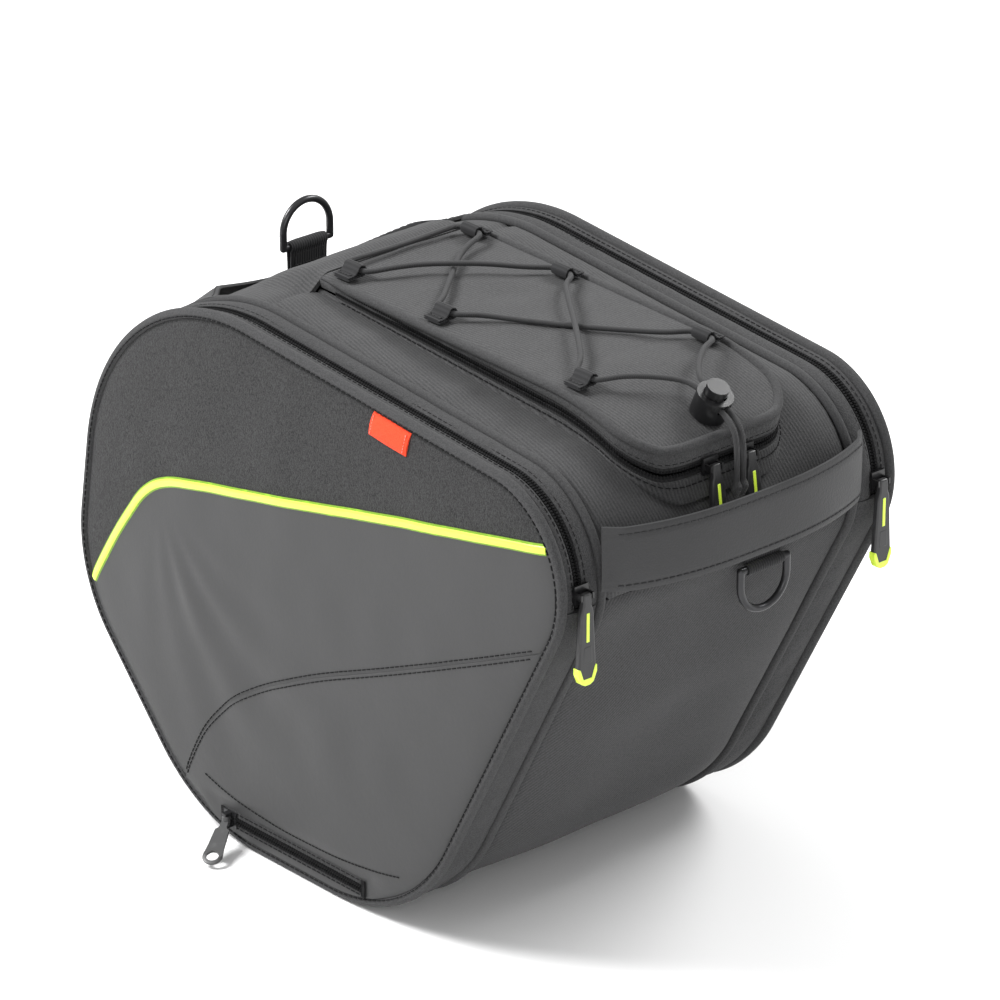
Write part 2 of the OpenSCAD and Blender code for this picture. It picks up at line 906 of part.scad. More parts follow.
module bottom_pull() {
    color("silver") translate([bottom_slider_x, -face_y + face_t / 2 - pivot_out, bottom_zip_z]) {
        difference() {
            union() {
                translate([0, 0, -eye_w / 2]) cylinder(d = puller_t, h = eye_w, $fn = fine);
                rotate([0, 0, bottom_pull_dir]) rotate([0, pull_tilt, 0]) difference() {
                    translate([0, -pull_w / 2, -pull_t / 2]) cube([pull_tab_l, pull_w, pull_t]);
                    translate([-1, -pull_w, -pull_w]) cube([6, pull_w - 2, 2 * pull_w]);
                    translate([-1, 2, -pull_w]) cube([6, pull_w, 2 * pull_w]);
                    translate([pull_tab_l - 5, 0, -pull_w]) cylinder(r = 2.2, h = 2 * pull_w, $fn = fine);
                }
            }
            translate([0, 0, -eye_w]) cylinder(r = eye_r, h = 2 * eye_w, $fn = fine);
        }
    }
}

// ---------------------------------------------------------------- rings and straps
module front_d_ring() {
    color(dark) translate([front_bar_x, front_ring_y, front_bar_z]) d_ring();
}

module rear_d_ring() {
    color(dark) translate([rear_bar_x, 0, rear_bar_z]) rotate([0, 180, 0]) d_ring();
}

module front_handle() {
    color(dark) intersection() {
        translate([handle_end_x + handle_bow - handle_arc_r, 0, handle_z - handle_w / 2]) difference() {
            cylinder(r = handle_arc_r, h = handle_w, $fn = 180);
            translate([0, 0, -1]) cylinder(r = handle_arc_r - handle_t, h = handle_w + 2, $fn = 180);
        }
        translate([0, -handle_end_y, 0]) cube([far, 2 * handle_end_y, far]);
    }
}

// The rear strap hangs in a swag against the rear shoulder
function swag(y) = rear_handle_end + rear_handle_sag * (1 - pow(y / handle_end_y, 2));
function swag_y(k) = handle_end_y * (2 * k / rear_handle_steps - 1);

module rear_handle() {
    color(dark) intersection() {
        translate([rear_c[0], handle_end_y, rear_c[1]]) rotate([90, 0, 0]) difference() {
            cylinder(r = rear_r + clear + handle_t, h = 2 * handle_end_y, $fn = 180);
            translate([0, 0, -1]) cylinder(r = rear_r + clear, h = 2 * handle_end_y + 2, $fn = 180);
        }
        translate([rear_c[0], 0, rear_c[1]]) rotate([0, 180 - rear_handle_dir, 0]) rotate([0, -90, 0])
            linear_extrude(far) polygon([
                for (k = [0 : rear_handle_steps]) [-swag(swag_y(k)) - handle_w / 2, swag_y(k)],
                for (k = [rear_handle_steps : -1 : 0]) [-swag(swag_y(k)) + handle_w / 2, swag_y(k)]]);
    }
}

base_panel();
base_board();
front_lower_panel();
front_upper_panel();
rear_end_panel();
top_rear_panel();
top_rim_panel();
lid_zip_lower();
right_divider();
left_divider();
right_body_piping();
left_body_piping();
pocket_gussets();
inner_gussets();
inner_zips();
right_face_lower();
left_face_lower();
right_lower_piping();
left_lower_piping();
coated_panels();
strips_lower();
bottom_zip();
front_ring_webbing();
rear_ring_webbing();
right_face_upper();
left_face_upper();
right_face_piping();
left_face_piping();
right_outer_gusset();
left_outer_gusset();
right_outer_zip();
left_outer_zip();
right_strip_upper();
left_strip_upper();
right_tag();
lid_top();
lid_wall();
lid_piping();
lid_foam();
lid_zip_upper();
bungee_loops();
bungee_cord();
cord_lock_barrel();
cord_lock_button();
cord_lock_spring();
right_pocket_slider();
left_pocket_slider();
right_lid_slider();
left_lid_slider();
bottom_slider();
right_pocket_puller();
left_pocket_puller();
right_lid_puller();
left_lid_puller();
bottom_pull();
front_d_ring();
rear_d_ring();
front_handle();
rear_handle();
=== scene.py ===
import math

import bmesh
import bpy
import numpy as np
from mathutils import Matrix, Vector


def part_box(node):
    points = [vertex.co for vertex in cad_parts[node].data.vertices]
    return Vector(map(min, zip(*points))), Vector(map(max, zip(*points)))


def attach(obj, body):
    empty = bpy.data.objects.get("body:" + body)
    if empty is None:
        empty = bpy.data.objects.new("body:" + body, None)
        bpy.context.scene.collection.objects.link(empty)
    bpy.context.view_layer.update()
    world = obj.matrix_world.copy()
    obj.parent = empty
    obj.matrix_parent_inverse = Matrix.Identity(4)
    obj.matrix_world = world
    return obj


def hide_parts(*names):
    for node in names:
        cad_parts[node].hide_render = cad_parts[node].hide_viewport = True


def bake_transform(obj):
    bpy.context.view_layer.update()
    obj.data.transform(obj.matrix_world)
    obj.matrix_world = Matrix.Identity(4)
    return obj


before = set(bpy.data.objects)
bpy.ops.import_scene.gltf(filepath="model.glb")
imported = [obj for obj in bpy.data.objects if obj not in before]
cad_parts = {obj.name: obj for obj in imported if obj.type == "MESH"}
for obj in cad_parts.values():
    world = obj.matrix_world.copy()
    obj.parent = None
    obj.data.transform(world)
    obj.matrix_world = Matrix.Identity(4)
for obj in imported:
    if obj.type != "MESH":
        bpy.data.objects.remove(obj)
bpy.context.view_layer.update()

MM = 0.001

# ------------------------------------------------------------------ sizes, in millimetres
# The outline's five turns, the widths and the heights are the part's own.
FACE_Y = -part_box("right_lower_piping")[0][1] / MM
BAG_L, BAG_H = 380.0, 300.0
FRONT_R, REAR_R, BELLY_R, BASE_R = 55.0, 125.0, 85.0, 106.0
BASE_FLAT = 60.0
TOP_DROP = 18.0
REAR_X = -0.155 * BAG_L
BASE_X = -0.1226 * BAG_L
TURNS = [
    (BASE_X, BASE_R, BASE_R),
    (BASE_X + BASE_FLAT, BASE_R, BASE_R),
    (BAG_L / 2 - FRONT_R, BAG_H - TOP_DROP - FRONT_R, FRONT_R),
    (REAR_X, BAG_H - REAR_R, REAR_R),
    (-BAG_L / 2 + BELLY_R, 0.467 * BAG_H, BELLY_R),
]

PANEL_T = 3.0
SKIN = -3.0                      # depth of the panels below the pipings' crown
BODY_Y = 84.0
GUSSET_Y0, GUSSET_Y1 = 88.8, 109.2
ZIP_Y = 101.5
ZIP_GAP = 1.6
BASE_SEAM_Z, END_SEAM_Z, FOLD_Z, REAR_SEAM_Z = 12.0, 217.0, 219.0, 232.0

LID_X0, LID_X1 = REAR_X - 3, BAG_L / 2 - 7
LID_HALF, LID_CORNER = 53.0, 28.0
LID_CORNER_X, LID_CORNER_Y = LID_X1 - LID_CORNER, LID_HALF - LID_CORNER
LID_Z, LID_SLOPE, LID_ARC = BAG_H + 7, 5.0, 150.0
LID_BEND = LID_X1 - 75
LID_LEVEL = 4.0                  # the lid's line runs level over this length at its front
ZIP_DROP_REAR, ZIP_DROP_FRONT = 5.0, 15.0

# Lines on the pockets' faces, as X and Z
STRIP_LINE = [(-180, 112), (-154, 150), (-127, 185), (-110, 195), (-85, 201), (72, 233), (146, 247),
              (184, 253)]
SEAM_LINE = [(-108, 16), (-90, 51), (-69, 79), (-40, 100), (9, 125), (71, 151), (131, 177), (182, 199)]

SIDES = ((-1, "right"), (1, "left"))
FLAP = {-1: "right_flap", 1: "left_flap"}


def smooth(a, b, v):
    """0 below a, 1 above b, and a soft step between."""
    t = np.clip((np.asarray(v, float) - a) / (b - a), 0, 1)
    return t * t * (3 - 2 * t)


def bump_at(v, middle, width):
    """1 at the middle, falling away softly over the width."""
    return np.exp(-((v - middle) / width) ** 2)


def xyz(x, y, z):
    """Points from coordinates whose shapes go together."""
    return np.stack(np.broadcast_arrays(np.asarray(x, float), y, z), -1)


def unit(v):
    """Vectors of length 1, along the last axis."""
    v = np.array(v, float)
    return v / np.linalg.norm(v, axis=-1, keepdims=True)


def side(right_points, s):
    """Points made for the right side, on the side s: -1 right, 1 left."""
    return np.asarray(right_points) * np.array([1, -s, 1])


# ------------------------------------------------------------------ the side outline
class Outline:
    """The bag's side outline as evenly spaced points with outward normals, counterclockwise from the base."""

    def __init__(self, turns, spacing=1.0):
        dirs = []
        for i, (x, z, r) in enumerate(turns):
            nx, nz, nr = turns[(i + 1) % len(turns)]
            dx, dz = nx - x, nz - z
            dirs.append(math.atan2(dz, dx) - math.pi / 2 + math.asin((r - nr) / math.hypot(dx, dz)))
        points, angles = [], []
        for i, (x, z, r) in enumerate(turns):
            start = dirs[i - 1]
            sweep = (dirs[i] - start) % (2 * math.pi)
            for a in start + sweep * np.arange(61) / 60:
                points.append((x + r * math.cos(a), z + r * math.sin(a)))
                angles.append(a)
        p = np.array(points + points[:1])
        a = np.unwrap(np.array(angles + angles[:1]))
        s = run_length(p)
        self.length = s[-1]
        self.s = np.linspace(0, self.length, int(self.length / spacing) + 1)
        self.p = np.stack([np.interp(self.s, s, p[:, 0]), np.interp(self.s, s, p[:, 1])], 1)
        self.a = np.interp(self.s, s, a)

    def at(self, s, d=0.0):
        """X and Z of the outline at arc length s, moved outward by d."""
        s = np.mod(s, self.length)
        a = np.interp(s, self.s, self.a)
        x = np.interp(s, self.s, self.p[:, 0]) + d * np.cos(a)
        z = np.interp(s, self.s, self.p[:, 1]) + d * np.sin(a)
        return x, z

    def find(self, axis, value, low, high):
        """Arc length between low and high where X (axis 0) or Z (axis 1) comes nearest to value."""
        s = np.linspace(low, high, 4000)
        return s[np.argmin(np.abs(self.at(s)[axis] - value))]


def run_length(path):
    """Length along a path up to each of its points."""
    return np.concatenate([[0], np.cumsum(np.linalg.norm(np.diff(path, axis=0), axis=1))])


EDGE = Outline(TURNS)
FAR = 1e3                                                  # past every side of the bag
S_FRONT = EDGE.find(0, FAR, 0, EDGE.length)                # furthest forward
S_REAR = EDGE.find(0, -FAR, 0, EDGE.length)                # furthest back
S_TOP = EDGE.find(1, FAR, S_FRONT, S_REAR)                 # highest
S_BOTTOM = EDGE.find(1, -FAR, 0, EDGE.length * 0.5)        # lowest
S_BASE_FRONT = EDGE.find(1, BASE_SEAM_Z, S_BOTTOM, S_FRONT)
S_BASE_REAR = EDGE.find(1, BASE_SEAM_Z, 0, S_BOTTOM) + EDGE.length
S_END_SEAM = EDGE.find(1, END_SEAM_Z, S_BASE_FRONT, S_FRONT)
S_FOLD_FRONT = EDGE.find(1, FOLD_Z, S_BASE_FRONT, S_FRONT)
S_FOLD_REAR = EDGE.find(1, FOLD_Z, S_TOP, S_REAR)
S_REAR_SEAM = EDGE.find(1, REAR_SEAM_Z, S_TOP, S_REAR)
TOP_S = np.linspace(S_FRONT, S_REAR, 3000)
TOP_X = EDGE.at(TOP_S)[0]


def s_over(x):
    """Arc length of the point on the outline's top that is at x."""
    return float(np.interp(-x, -TOP_X, TOP_S))


def on_edge(s, y, d):
    """Points in the part's frame from arc length, place across and depth."""
    x, z = EDGE.at(s, d)
    return xyz(x, y, z)


def edge_normal(p):
    i = np.argmin(np.abs(EDGE.p[:, 0] - p[0]) + np.abs(EDGE.p[:, 1] - p[2]))
    return math.cos(EDGE.a[i]), 0, math.sin(EDGE.a[i])


# ------------------------------------------------------------------ the lid's lines
def lid_top_z(x):
    x = np.minimum(np.asarray(x, float), LID_X1 - LID_LEVEL)
    run = (np.minimum(x, LID_BEND) - LID_X0) / (LID_BEND - LID_X0)
    over = np.maximum(0, x - LID_BEND)
    return LID_Z - LID_SLOPE * run - LID_ARC + np.sqrt(LID_ARC ** 2 - over ** 2)


def zip_line_z(x):
    x = np.minimum(np.asarray(x, float), LID_X1 - LID_LEVEL)
    share = (x - LID_X0) / (LID_X1 - LID_X0)
    return lid_top_z(x) - ZIP_DROP_REAR - (ZIP_DROP_FRONT - ZIP_DROP_REAR) * share


def lid_contour(grow=0.0, start=LID_X0, spacing=3.0):
    """Plan of the lid from its rear right corner round the front to the rear left one, with normals."""
    r = LID_CORNER + grow
    cx, cy = LID_CORNER_X, LID_CORNER_Y
    pts = [(x, -LID_HALF - grow, 0, -1) for x in np.arange(start, cx, spacing)]
    turn = np.linspace(-math.pi / 2, 0, 13)
    pts += [(cx + r * math.cos(a), -cy + r * math.sin(a), math.cos(a), math.sin(a)) for a in turn]
    pts += [(cx + r, y, 1, 0) for y in np.linspace(-cy, cy, 18)[1:-1]]
    pts = np.array(pts)
    half = pts[pts[:, 1] < -1e-6]
    return np.concatenate([half, half[::-1] * np.array([1, -1, 1, -1])])


def plan_normal(p):
    plan = lid_contour()
    i = np.argmin(np.hypot(plan[:, 0] - p[0], plan[:, 1] - p[1]))
    return plan[i, 2], plan[i, 3], 0


# ------------------------------------------------------------------ meshes
SAME_PLACE = 1e-6                # metres
SHARP = math.radians(58)


def finish_mesh(name, verts, faces, material, smooth_faces=True):
    mesh = bpy.data.meshes.new(name)
    mesh.from_pydata([tuple(v) for v in np.asarray(verts) * MM], [], faces)
    mesh.validate()
    bm = bmesh.new()
    bm.from_mesh(mesh)
    bmesh.ops.remove_doubles(bm, verts=bm.verts, dist=SAME_PLACE)
    bmesh.ops.recalc_face_normals(bm, faces=bm.faces)
    bm.to_mesh(mesh)
    bm.free()
    mesh.polygons.foreach_set("use_smooth", [smooth_faces] * len(mesh.polygons))
    mesh.set_sharp_from_angle(angle=SHARP)
    obj = bpy.data.objects.new(name, mesh)
    bpy.context.scene.collection.objects.link(obj)
    mesh.materials.append(material)
    return obj


def grid_faces(n, m, wrap_n=False, wrap_m=False, base=0, flip=False):
    """Four-sided faces of a grid of n by m points, closed on itself where it wraps."""
    faces = []
    for i in range(n if wrap_n else n - 1):
        for j in range(m if wrap_m else m - 1):
            a, b = i * m + j, i * m + (j + 1) % m
            c, d = ((i + 1) % n) * m + (j + 1) % m, ((i + 1) % n) * m + j
            face = (a, b, c, d)
            faces.append(tuple(base + k for k in (face[::-1] if flip else face)))
    return faces


def caps(n, m):
    """The two end faces of a tube of n rings of m points."""
    return [tuple(range(m)), tuple((n - 1) * m + k for k in range(m))[::-1]]


def shell(name, outer, inner, material, wrap=False):
    """Closed cloth with an outer and an inner grid of points of the same shape."""
    n, m = outer.shape[:2]
    verts = np.concatenate([outer.reshape(-1, 3), inner.reshape(-1, 3)])
    faces = grid_faces(n, m, wrap_n=wrap) + grid_faces(n, m, wrap_n=wrap, base=n * m, flip=True)
    rims = [range(0, n * m, m), range(m - 1, n * m, m)]
    if not wrap:
        rims += [range(m), range((n - 1) * m, n * m)]
    for rim in rims:
        ring = [*rim, rim[0]] if wrap else rim
        faces += [(a, b, b + n * m, a + n * m) for a, b in zip(ring, ring[1:])]
    return finish_mesh(name, verts, faces, material)


def tube(name, path, radius, material, sides=10, closed=False, up=(0, 1, 0)):
    """A round rope along a path, with one radius or one a point."""
    path = np.asarray(path, float)
    n = len(path)
    ahead = np.roll(path, -1, 0) - np.roll(path, 1, 0) if closed else np.gradient(path, axis=0)
    tangent = unit(ahead)
    across = unit(np.cross(tangent, np.array(up, float)))
    other = np.cross(tangent, across)
    a = (np.arange(sides) * 2 * math.pi / sides)[None, :, None]
    r = np.broadcast_to(np.asarray(radius, float), (n,))[:, None, None]
    rings = path[:, None] + r * (across[:, None] * np.cos(a) + other[:, None] * np.sin(a))
    faces = grid_faces(n, sides, wrap_n=closed, wrap_m=True) + ([] if closed else caps(n, sides))
    return finish_mesh(name, rings.reshape(-1, 3), faces, material)


BOX_FACES = [(0, 1, 3, 2), (4, 6, 7, 5), (0, 4, 5, 1), (2, 3, 7, 6), (0, 2, 6, 4), (1, 5, 7, 3)]
BOX_CORNERS = np.array([(x, y, z) for x in (-1, 1) for y in (-1, 1) for z in (-1, 1)], float)


def boxes(name, places, material):
    """Small blocks, each given by its centre and its three half edges as vectors."""
    verts, faces = [], []
    for k, (centre, a, b, c) in enumerate(places):
        verts.append(np.array(centre) + BOX_CORNERS @ np.array([a, b, c]))
        faces += [tuple(8 * k + i for i in f) for f in BOX_FACES]
    return finish_mesh(name, np.concatenate(verts), faces, material, smooth_faces=False)


def along(path, step):
    """Evenly spaced points on a path, with the path's direction at each."""
    path = np.asarray(path, float)
    s = run_length(path)
    at = np.arange(step / 2, s[-1], step)

    def place(t):
        return np.stack([np.interp(t, s, path[:, k]) for k in range(3)], 1)

    return place(at), unit(place(at + 0.5) - place(at - 0.5))


def normal_at(normal, p):
    """A normal given as one direction, or as a rule for one at each point."""
    return unit(normal(p) if callable(normal) else normal)


def stitches(path, normal, length=2.6, gap=1.3, width=0.55, proud=0.3):
    """A row of thread stitches on a path, as places for boxes(). Normal is the cloth's outward direction."""
    places = []
    for p, t in zip(*along(path, length + gap)):
        n = normal_at(normal, p)
        places.append((p + n * proud * 0.5, t * length / 2, np.cross(t, n) * width / 2, n * proud))
    return places


def stitch_line(ends, normal=(0, 0, 1), length=1.5, gap=0.7):
    """Small stitches between two points."""
    return stitches(ends, normal, length, gap, width=0.4, proud=0.25)


def waves(p, size, seed, count=7):
    """A smooth random height between about -1 and 1 at points p, with hills of the given size."""
    rng = np.random.default_rng(seed)
    out = np.zeros(p.shape[:-1])
    for _ in range(count):
        d = rng.normal(size=3)
        d /= np.linalg.norm(d)
        k = 2 * math.pi / (size * rng.uniform(0.7, 1.6))
        out += np.sin(p @ d * k + rng.uniform(0, 2 * math.pi))
    return out / math.sqrt(count)


def eased(points, step=2.0, passes=2):
    """An even path through points with its corners softened."""
    path = np.array(points, float)
    for _ in range(passes):
        q = path[:-1] * 0.75 + path[1:] * 0.25
        r = path[:-1] * 0.25 + path[1:] * 0.75
        path = np.concatenate([path[:1], np.stack([q, r], 1).reshape(-1, 3), path[-1:]])
    s = run_length(path)
    at = np.linspace(0, s[-1], max(3, int(s[-1] / step)))
    return np.stack([np.interp(at, s, path[:, k]) for k in range(3)], 1)


# ------------------------------------------------------------------ shader maths
def add_node(tree, kind, settings, values):
    """Adds a node: its settings first, then a value or a link for each socket."""
    node = tree.nodes.new(kind)
    for key, value in settings.items():
        setattr(node, key, value)
    for key, value in values.items():
        join(tree, node.inputs[key], value)
    return node


def join(tree, socket, value):
    if isinstance(value, Wire):
        tree.links.new(value.socket, socket)
    else:
        socket.default_value = value


def maths(operation, swapped=False):
    """An operator that adds a Math node."""
    def method(self, *others):
        terms = (*others, self) if swapped else (self, *others)
        node = add_node(self.tree, "ShaderNodeMath", {"operation": operation}, dict(enumerate(terms)))
        return Wire(self.tree, node.outputs[0])
    return method


class Wire:
    """A value socket that Python's own operators can be used on."""

    def __init__(self, tree, socket):
        self.tree = tree
        self.socket = socket

    __add__ = maths("ADD")
    __radd__ = maths("ADD", swapped=True)
    __sub__ = maths("SUBTRACT")
    __rsub__ = maths("SUBTRACT", swapped=True)
    __mul__ = maths("MULTIPLY")
    __rmul__ = maths("MULTIPLY", swapped=True)
    sine = maths("SINE")

    def soft(self, low, high):
        """0 below low, 1 above high, and a soft step between."""
        values = {"Value": self, "From Min": low, "From Max": high}
        node = add_node(self.tree, "ShaderNodeMapRange", {"interpolation_type": "SMOOTHSTEP"}, values)
        return Wire(self.tree, node.outputs["Result"])


class Finish:
    """One material: a Principled shader and the nodes that feed it."""

    def __init__(self, name, rough=0.8, metallic=0.0, sheen=0.0, coat=0.0, specular=0.5):
        self.material = bpy.data.materials.new(name)
        self.material.use_nodes = True
        self.tree = self.material.node_tree
        self.shader = self.tree.nodes["Principled BSDF"]
        self.set("Roughness", rough)
        self.set("Metallic", metallic)
        self.set("Sheen Weight", sheen)
        self.set("Sheen Roughness", 0.5)
        self.set("Coat Weight", coat)
        self.set("Specular IOR Level", specular)
        self.place = self.add("ShaderNodeTexCoord", {}, {}, "Object")
        self.axes = [self.add("ShaderNodeSeparateXYZ", {}, {0: self.place}, k) for k in range(3)]

    def add(self, kind, settings, values, output=0):
        """Adds a node and gives one of its outputs."""
        return Wire(self.tree, add_node(self.tree, kind, settings, values).outputs[output])

    def set(self, name, value):
        join(self.tree, self.shader.inputs[name], value)

    def grain(self, size, detail=2.0, stretch=(1, 1, 1)):
        """Noise whose grains are about size millimetres."""
        where = self.add("ShaderNodeMapping", {}, {"Vector": self.place, "Scale": stretch})
        values = {"Vector": where, "Scale": 1 / (size * MM), "Detail": detail}
        return self.add("ShaderNodeTexNoise", {}, values, "Fac")

    def wave(self, pitch, direction):
        """A sine across ribs that lie pitch millimetres apart along a direction."""
        turn = 2 * math.pi / (pitch * MM)
        x, y, z = [axis * (d * turn) for axis, d in zip(self.axes, direction)]
        return (x + y + z).sine()

    def tint(self, share, colour, dark, bright, lift=0.0):
        """Sets the colour: times dark where share is 0, times bright plus lift where it is 1."""
        low = [v * dark for v in colour]
        high = [min(1, v * bright + lift) for v in colour]
        values = {0: share, 6: (*low, 1), 7: (*high, 1)}
        mix = {"data_type": "RGBA", "blend_type": "MIX"}
        self.set("Base Color", self.add("ShaderNodeMix", mix, values, 2))

    def bump(self, height, depth):
        """Raises the surface by height times depth, in millimetres."""
        values = {"Height": height, "Distance": depth * MM, "Strength": 1}
        self.set("Normal", self.add("ShaderNodeBump", {}, values))


# ------------------------------------------------------------------ finishes
def cloth(name, colour, light=0.3, weave=0.8, rib=None, depth=0.22):
    """Woven cloth: mottled yarns, and fine ribs across a direction when rib is given."""
    rough = 0.88
    f = Finish(name, rough=rough, sheen=0.04, specular=0.22)
    yarn = f.grain(weave, detail=3)
    cloud = f.grain(38)
    cross = f.grain(weave * 1.6, detail=1, stretch=(1, 3, 0.6))
    tone = yarn.soft(0.36, 0.66) * 0.6 + cross.soft(0.38, 0.62) * 0.25 + cloud * 0.25
    if rib:
        tone = tone * 0.6 + (f.wave(RIB_PITCH, rib) * 0.5 + 0.5) * 0.45
    f.tint(tone, colour, 1 - light, 1 + light)
    f.set("Roughness", rough - 0.12 * tone)
    f.bump(tone, depth)
    return f.material


def coated(name, colour, rough, weave=1.4):
    """Smooth coated cloth with the weave barely showing and faint creases."""
    f = Finish(name, rough=rough, sheen=0.02, specular=0.4)
    fine = f.grain(weave)
    cloud = f.grain(55, detail=3)
    f.tint(fine * 0.35 + cloud * 0.65, colour, 0.86, 1.14)
    f.set("Roughness", rough + 0.14 * cloud)
    f.bump(fine + f.grain(9) * 2.2, 0.06)
    return f.material


def leather(name, colour):
    f = Finish(name, rough=0.5, specular=0.3)
    values = {"Vector": f.place, "Scale": 1 / (1.1 * MM)}
    cell = f.add("ShaderNodeTexVoronoi", {"feature": "F1"}, values, "Distance")
    cloud = f.grain(30)
    f.tint(cloud, colour, 0.8, 1.25)
    f.set("Roughness", 0.42 + 0.22 * cloud)
    f.bump(cell + f.grain(0.5) * 0.4, 0.12)
    return f.material


def moulded(name, colour, rough=0.3, coat=0.0, pitted=0.5, specular=0.5):
    f = Finish(name, rough=rough, coat=coat, specular=specular)
    speck = f.grain(0.6)
    wear = f.grain(7, detail=3).soft(0.5, 0.75)
    f.tint(wear, colour, 1, 1.6, 0.004)
    f.set("Roughness", rough + 0.16 * wear)
    f.bump(speck, 0.03 * pitted)
    return f.material


def metal(name, colour, rough=0.3, metallic=1.0):
    f = Finish(name, rough=rough, metallic=metallic)
    brushed = f.grain(0.9, stretch=(1, 1, 6))
    wear = f.grain(5, detail=3).soft(0.5, 0.8)
    f.tint(wear, colour, 1, 1.3, 0.01)
    f.set("Roughness", rough + 0.15 * wear)
    f.bump(brushed, 0.02)
    return f.material


def webbing_cloth(name, colour, ribs, pitch):
    """Narrow woven tape with ribs across its length."""
    f = Finish(name, rough=0.75, sheen=0.05, specular=0.25)
    tone = (f.wave(pitch, ribs) * 0.5 + 0.5) * 0.6 + f.grain(0.7) * 0.4
    f.tint(tone, colour, 0.6, 1.5)
    f.bump(tone, 0.3)
    return f.material


def braid(name, colour):
    f = Finish(name, rough=0.7, sheen=0.05, specular=0.3)
    tone = f.wave(1.3, (1, 1, 1)) * f.wave(1.3, (1, -1, -1)) * 0.5 + 0.5
    f.tint(tone, colour, 0.65, 1.45)
    f.bump(tone, 0.2)
    return f.material


def reflective(name, colour):
    f = Finish(name, rough=0.35, coat=0.15)
    bead = f.grain(0.5, detail=1)
    f.tint(bead, colour, 0.86, 1)
    # Painted glow: the emission makes the tape shine, standing in for the lamp light it reflects back.
    f.set("Emission Color", (*colour, 1))
    f.set("Emission Strength", 0.16)
    f.bump(bead, 0.03)
    return f.material


def grey(v, cool=0.001):
    """A grey with a touch of blue."""
    return v, v, v + cool


RIB_PITCH = 1.9
BODY = cloth("body_cloth", grey(0.046), light=0.42, rib=(0.2, 0.93, 0.3))
END = cloth("end_cloth", grey(0.041), light=0.45, rib=(0.1, 0.74, -0.67))
BASE = cloth("base_cloth", grey(0.025), weave=0.9)
GUSSET = cloth("gusset_cloth", grey(0.038), light=0.32)
FACE = cloth("upper_face_cloth", grey(0.0265, 0.0005), light=0.55, weave=0.75)
LID = cloth("lid_cloth", grey(0.050), light=0.45, rib=(-0.13, 0.99, 0))
WALL = cloth("lid_wall_cloth", grey(0.050))
MID = coated("middle_face_cloth", grey(0.0375, 0.0007), rough=0.55)
COATED = coated("coated_cloth", grey(0.0325, 0.0007), rough=0.46, weave=2.2)
PIPING = cloth("piping_cloth", grey(0.042), weave=0.7, depth=0.12)
TAPE = webbing_cloth("zip_tape", grey(0.014, 0.0005), (1, 0, 0), 1.1)
TEETH = moulded("zip_teeth", grey(0.006, 0.0005), rough=0.8, specular=0.15)
WEBBING = webbing_cloth("webbing", grey(0.015), (0, 1, 0), 1.6)
STRAP = leather("strap_leather", grey(0.032))
CORD = braid("elastic_cord", grey(0.034))
PLASTIC = moulded("black_moulding", grey(0.006, 0.0005), coat=0.1)
RUBBER = moulded("puller_rubber", grey(0.020), rough=0.45, coat=0.05, pitted=1.5)
# The neon tape and the pullers' neon parts glow with painted light.
GLOWING_NEON = reflective("reflective_tape_painted_glow", (0.66, 0.88, 0.07))
NEON_EDGE = moulded("reflective_edge", (0.16, 0.30, 0.008), rough=0.5)
RED = cloth("tag_weave", (0.85, 0.060, 0.020), light=0.12, weave=0.7, depth=0.1)
TAG_THREAD = moulded("tag_thread", (0.80, 0.16, 0.12), rough=0.7)
THREAD = moulded("thread", grey(0.010, 0.0005), rough=0.85, specular=0.15)
LIGHT_THREAD = moulded("light_thread", grey(0.022), rough=0.8)
NICKEL = metal("nickel", grey(0.30, 0), rough=0.32)
PAINTED = metal("painted_metal", grey(0.060), rough=0.42, metallic=0.2)
BLACK_STEEL = metal("black_steel", grey(0.035, 0.002), rough=0.28, metallic=0.6)
BOARD = moulded("base_board_plastic", grey(0.03, 0), rough=0.6)
FOAM = cloth("divider_lining", grey(0.09, 0.003), light=0.2, weave=0.9, depth=0.1)


# ------------------------------------------------------------------ what each piece rides on
def keep(node, material):
    """Gives a CAD node its finish."""
    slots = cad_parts[node].data.materials
    slots.clear()
    slots.append(material)


def piece(obj, body, slot, *nodes):
    """Declares a piece: what it rides on and the CAD nodes it stands for, which it hides. The slot is not
    used.
    """
    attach(obj, body)
    if nodes:
        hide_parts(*nodes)


def bend(obj, body, start, end, slot, *nodes):
    """Bakes the transform of cloth that runs from the bag onto a moving body and hides the CAD nodes it
    stands for. The body, the two places and the slot are not used.
    """
    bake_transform(obj)
    if nodes:
        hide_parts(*nodes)


def sew(name, path, normal, body, slot, **size):
    """A row of stitches that rides on a body."""
    piece(boxes(name, stitches(path, normal, **size), THREAD), body, slot)


def coil(name, path, normal, spread, body):
    """Zip teeth: small blocks set across a tape's edge. Spread points away from the gap."""
    size = 0.65
    places = []
    for p, t in zip(*along(path, 1.7)):
        n = normal_at(normal, p)
        w = np.cross(n, t)
        w *= np.sign(w @ np.array(spread, float))
        places.append((p + w * size * 0.9, w * size, t * 0.52, n * 0.95))
    piece(boxes(name, places, TEETH), body, "zip_tape")


FINE = 0.45                      # width of the fine thread beside the zips


# ------------------------------------------------------------------ pocket faces
BOTTOM_ZIP_X0, BOTTOM_ZIP_X1, BOTTOM_ZIP_Z = -72.0, 42.0, 14.6
FACE_C = np.array([0.0, 160.0])
FACE_EDGE = -5.2                 # the face cloth tucks in beside the piping here
RIM_XZ = np.stack(EDGE.at(np.linspace(0, EDGE.length, 361)[:-1], FACE_EDGE), 1)
RIM_ANGLE = np.arctan2(RIM_XZ[:, 1] - FACE_C[1], RIM_XZ[:, 0] - FACE_C[0])
RIM_REACH = np.linalg.norm(RIM_XZ - FACE_C, axis=1)
RIM_ORDER = np.argsort(RIM_ANGLE)
CREASES_X, CREASES_Z = -118, 188          # the creases of the middle panel fan out from here
FACE_SEED = 3

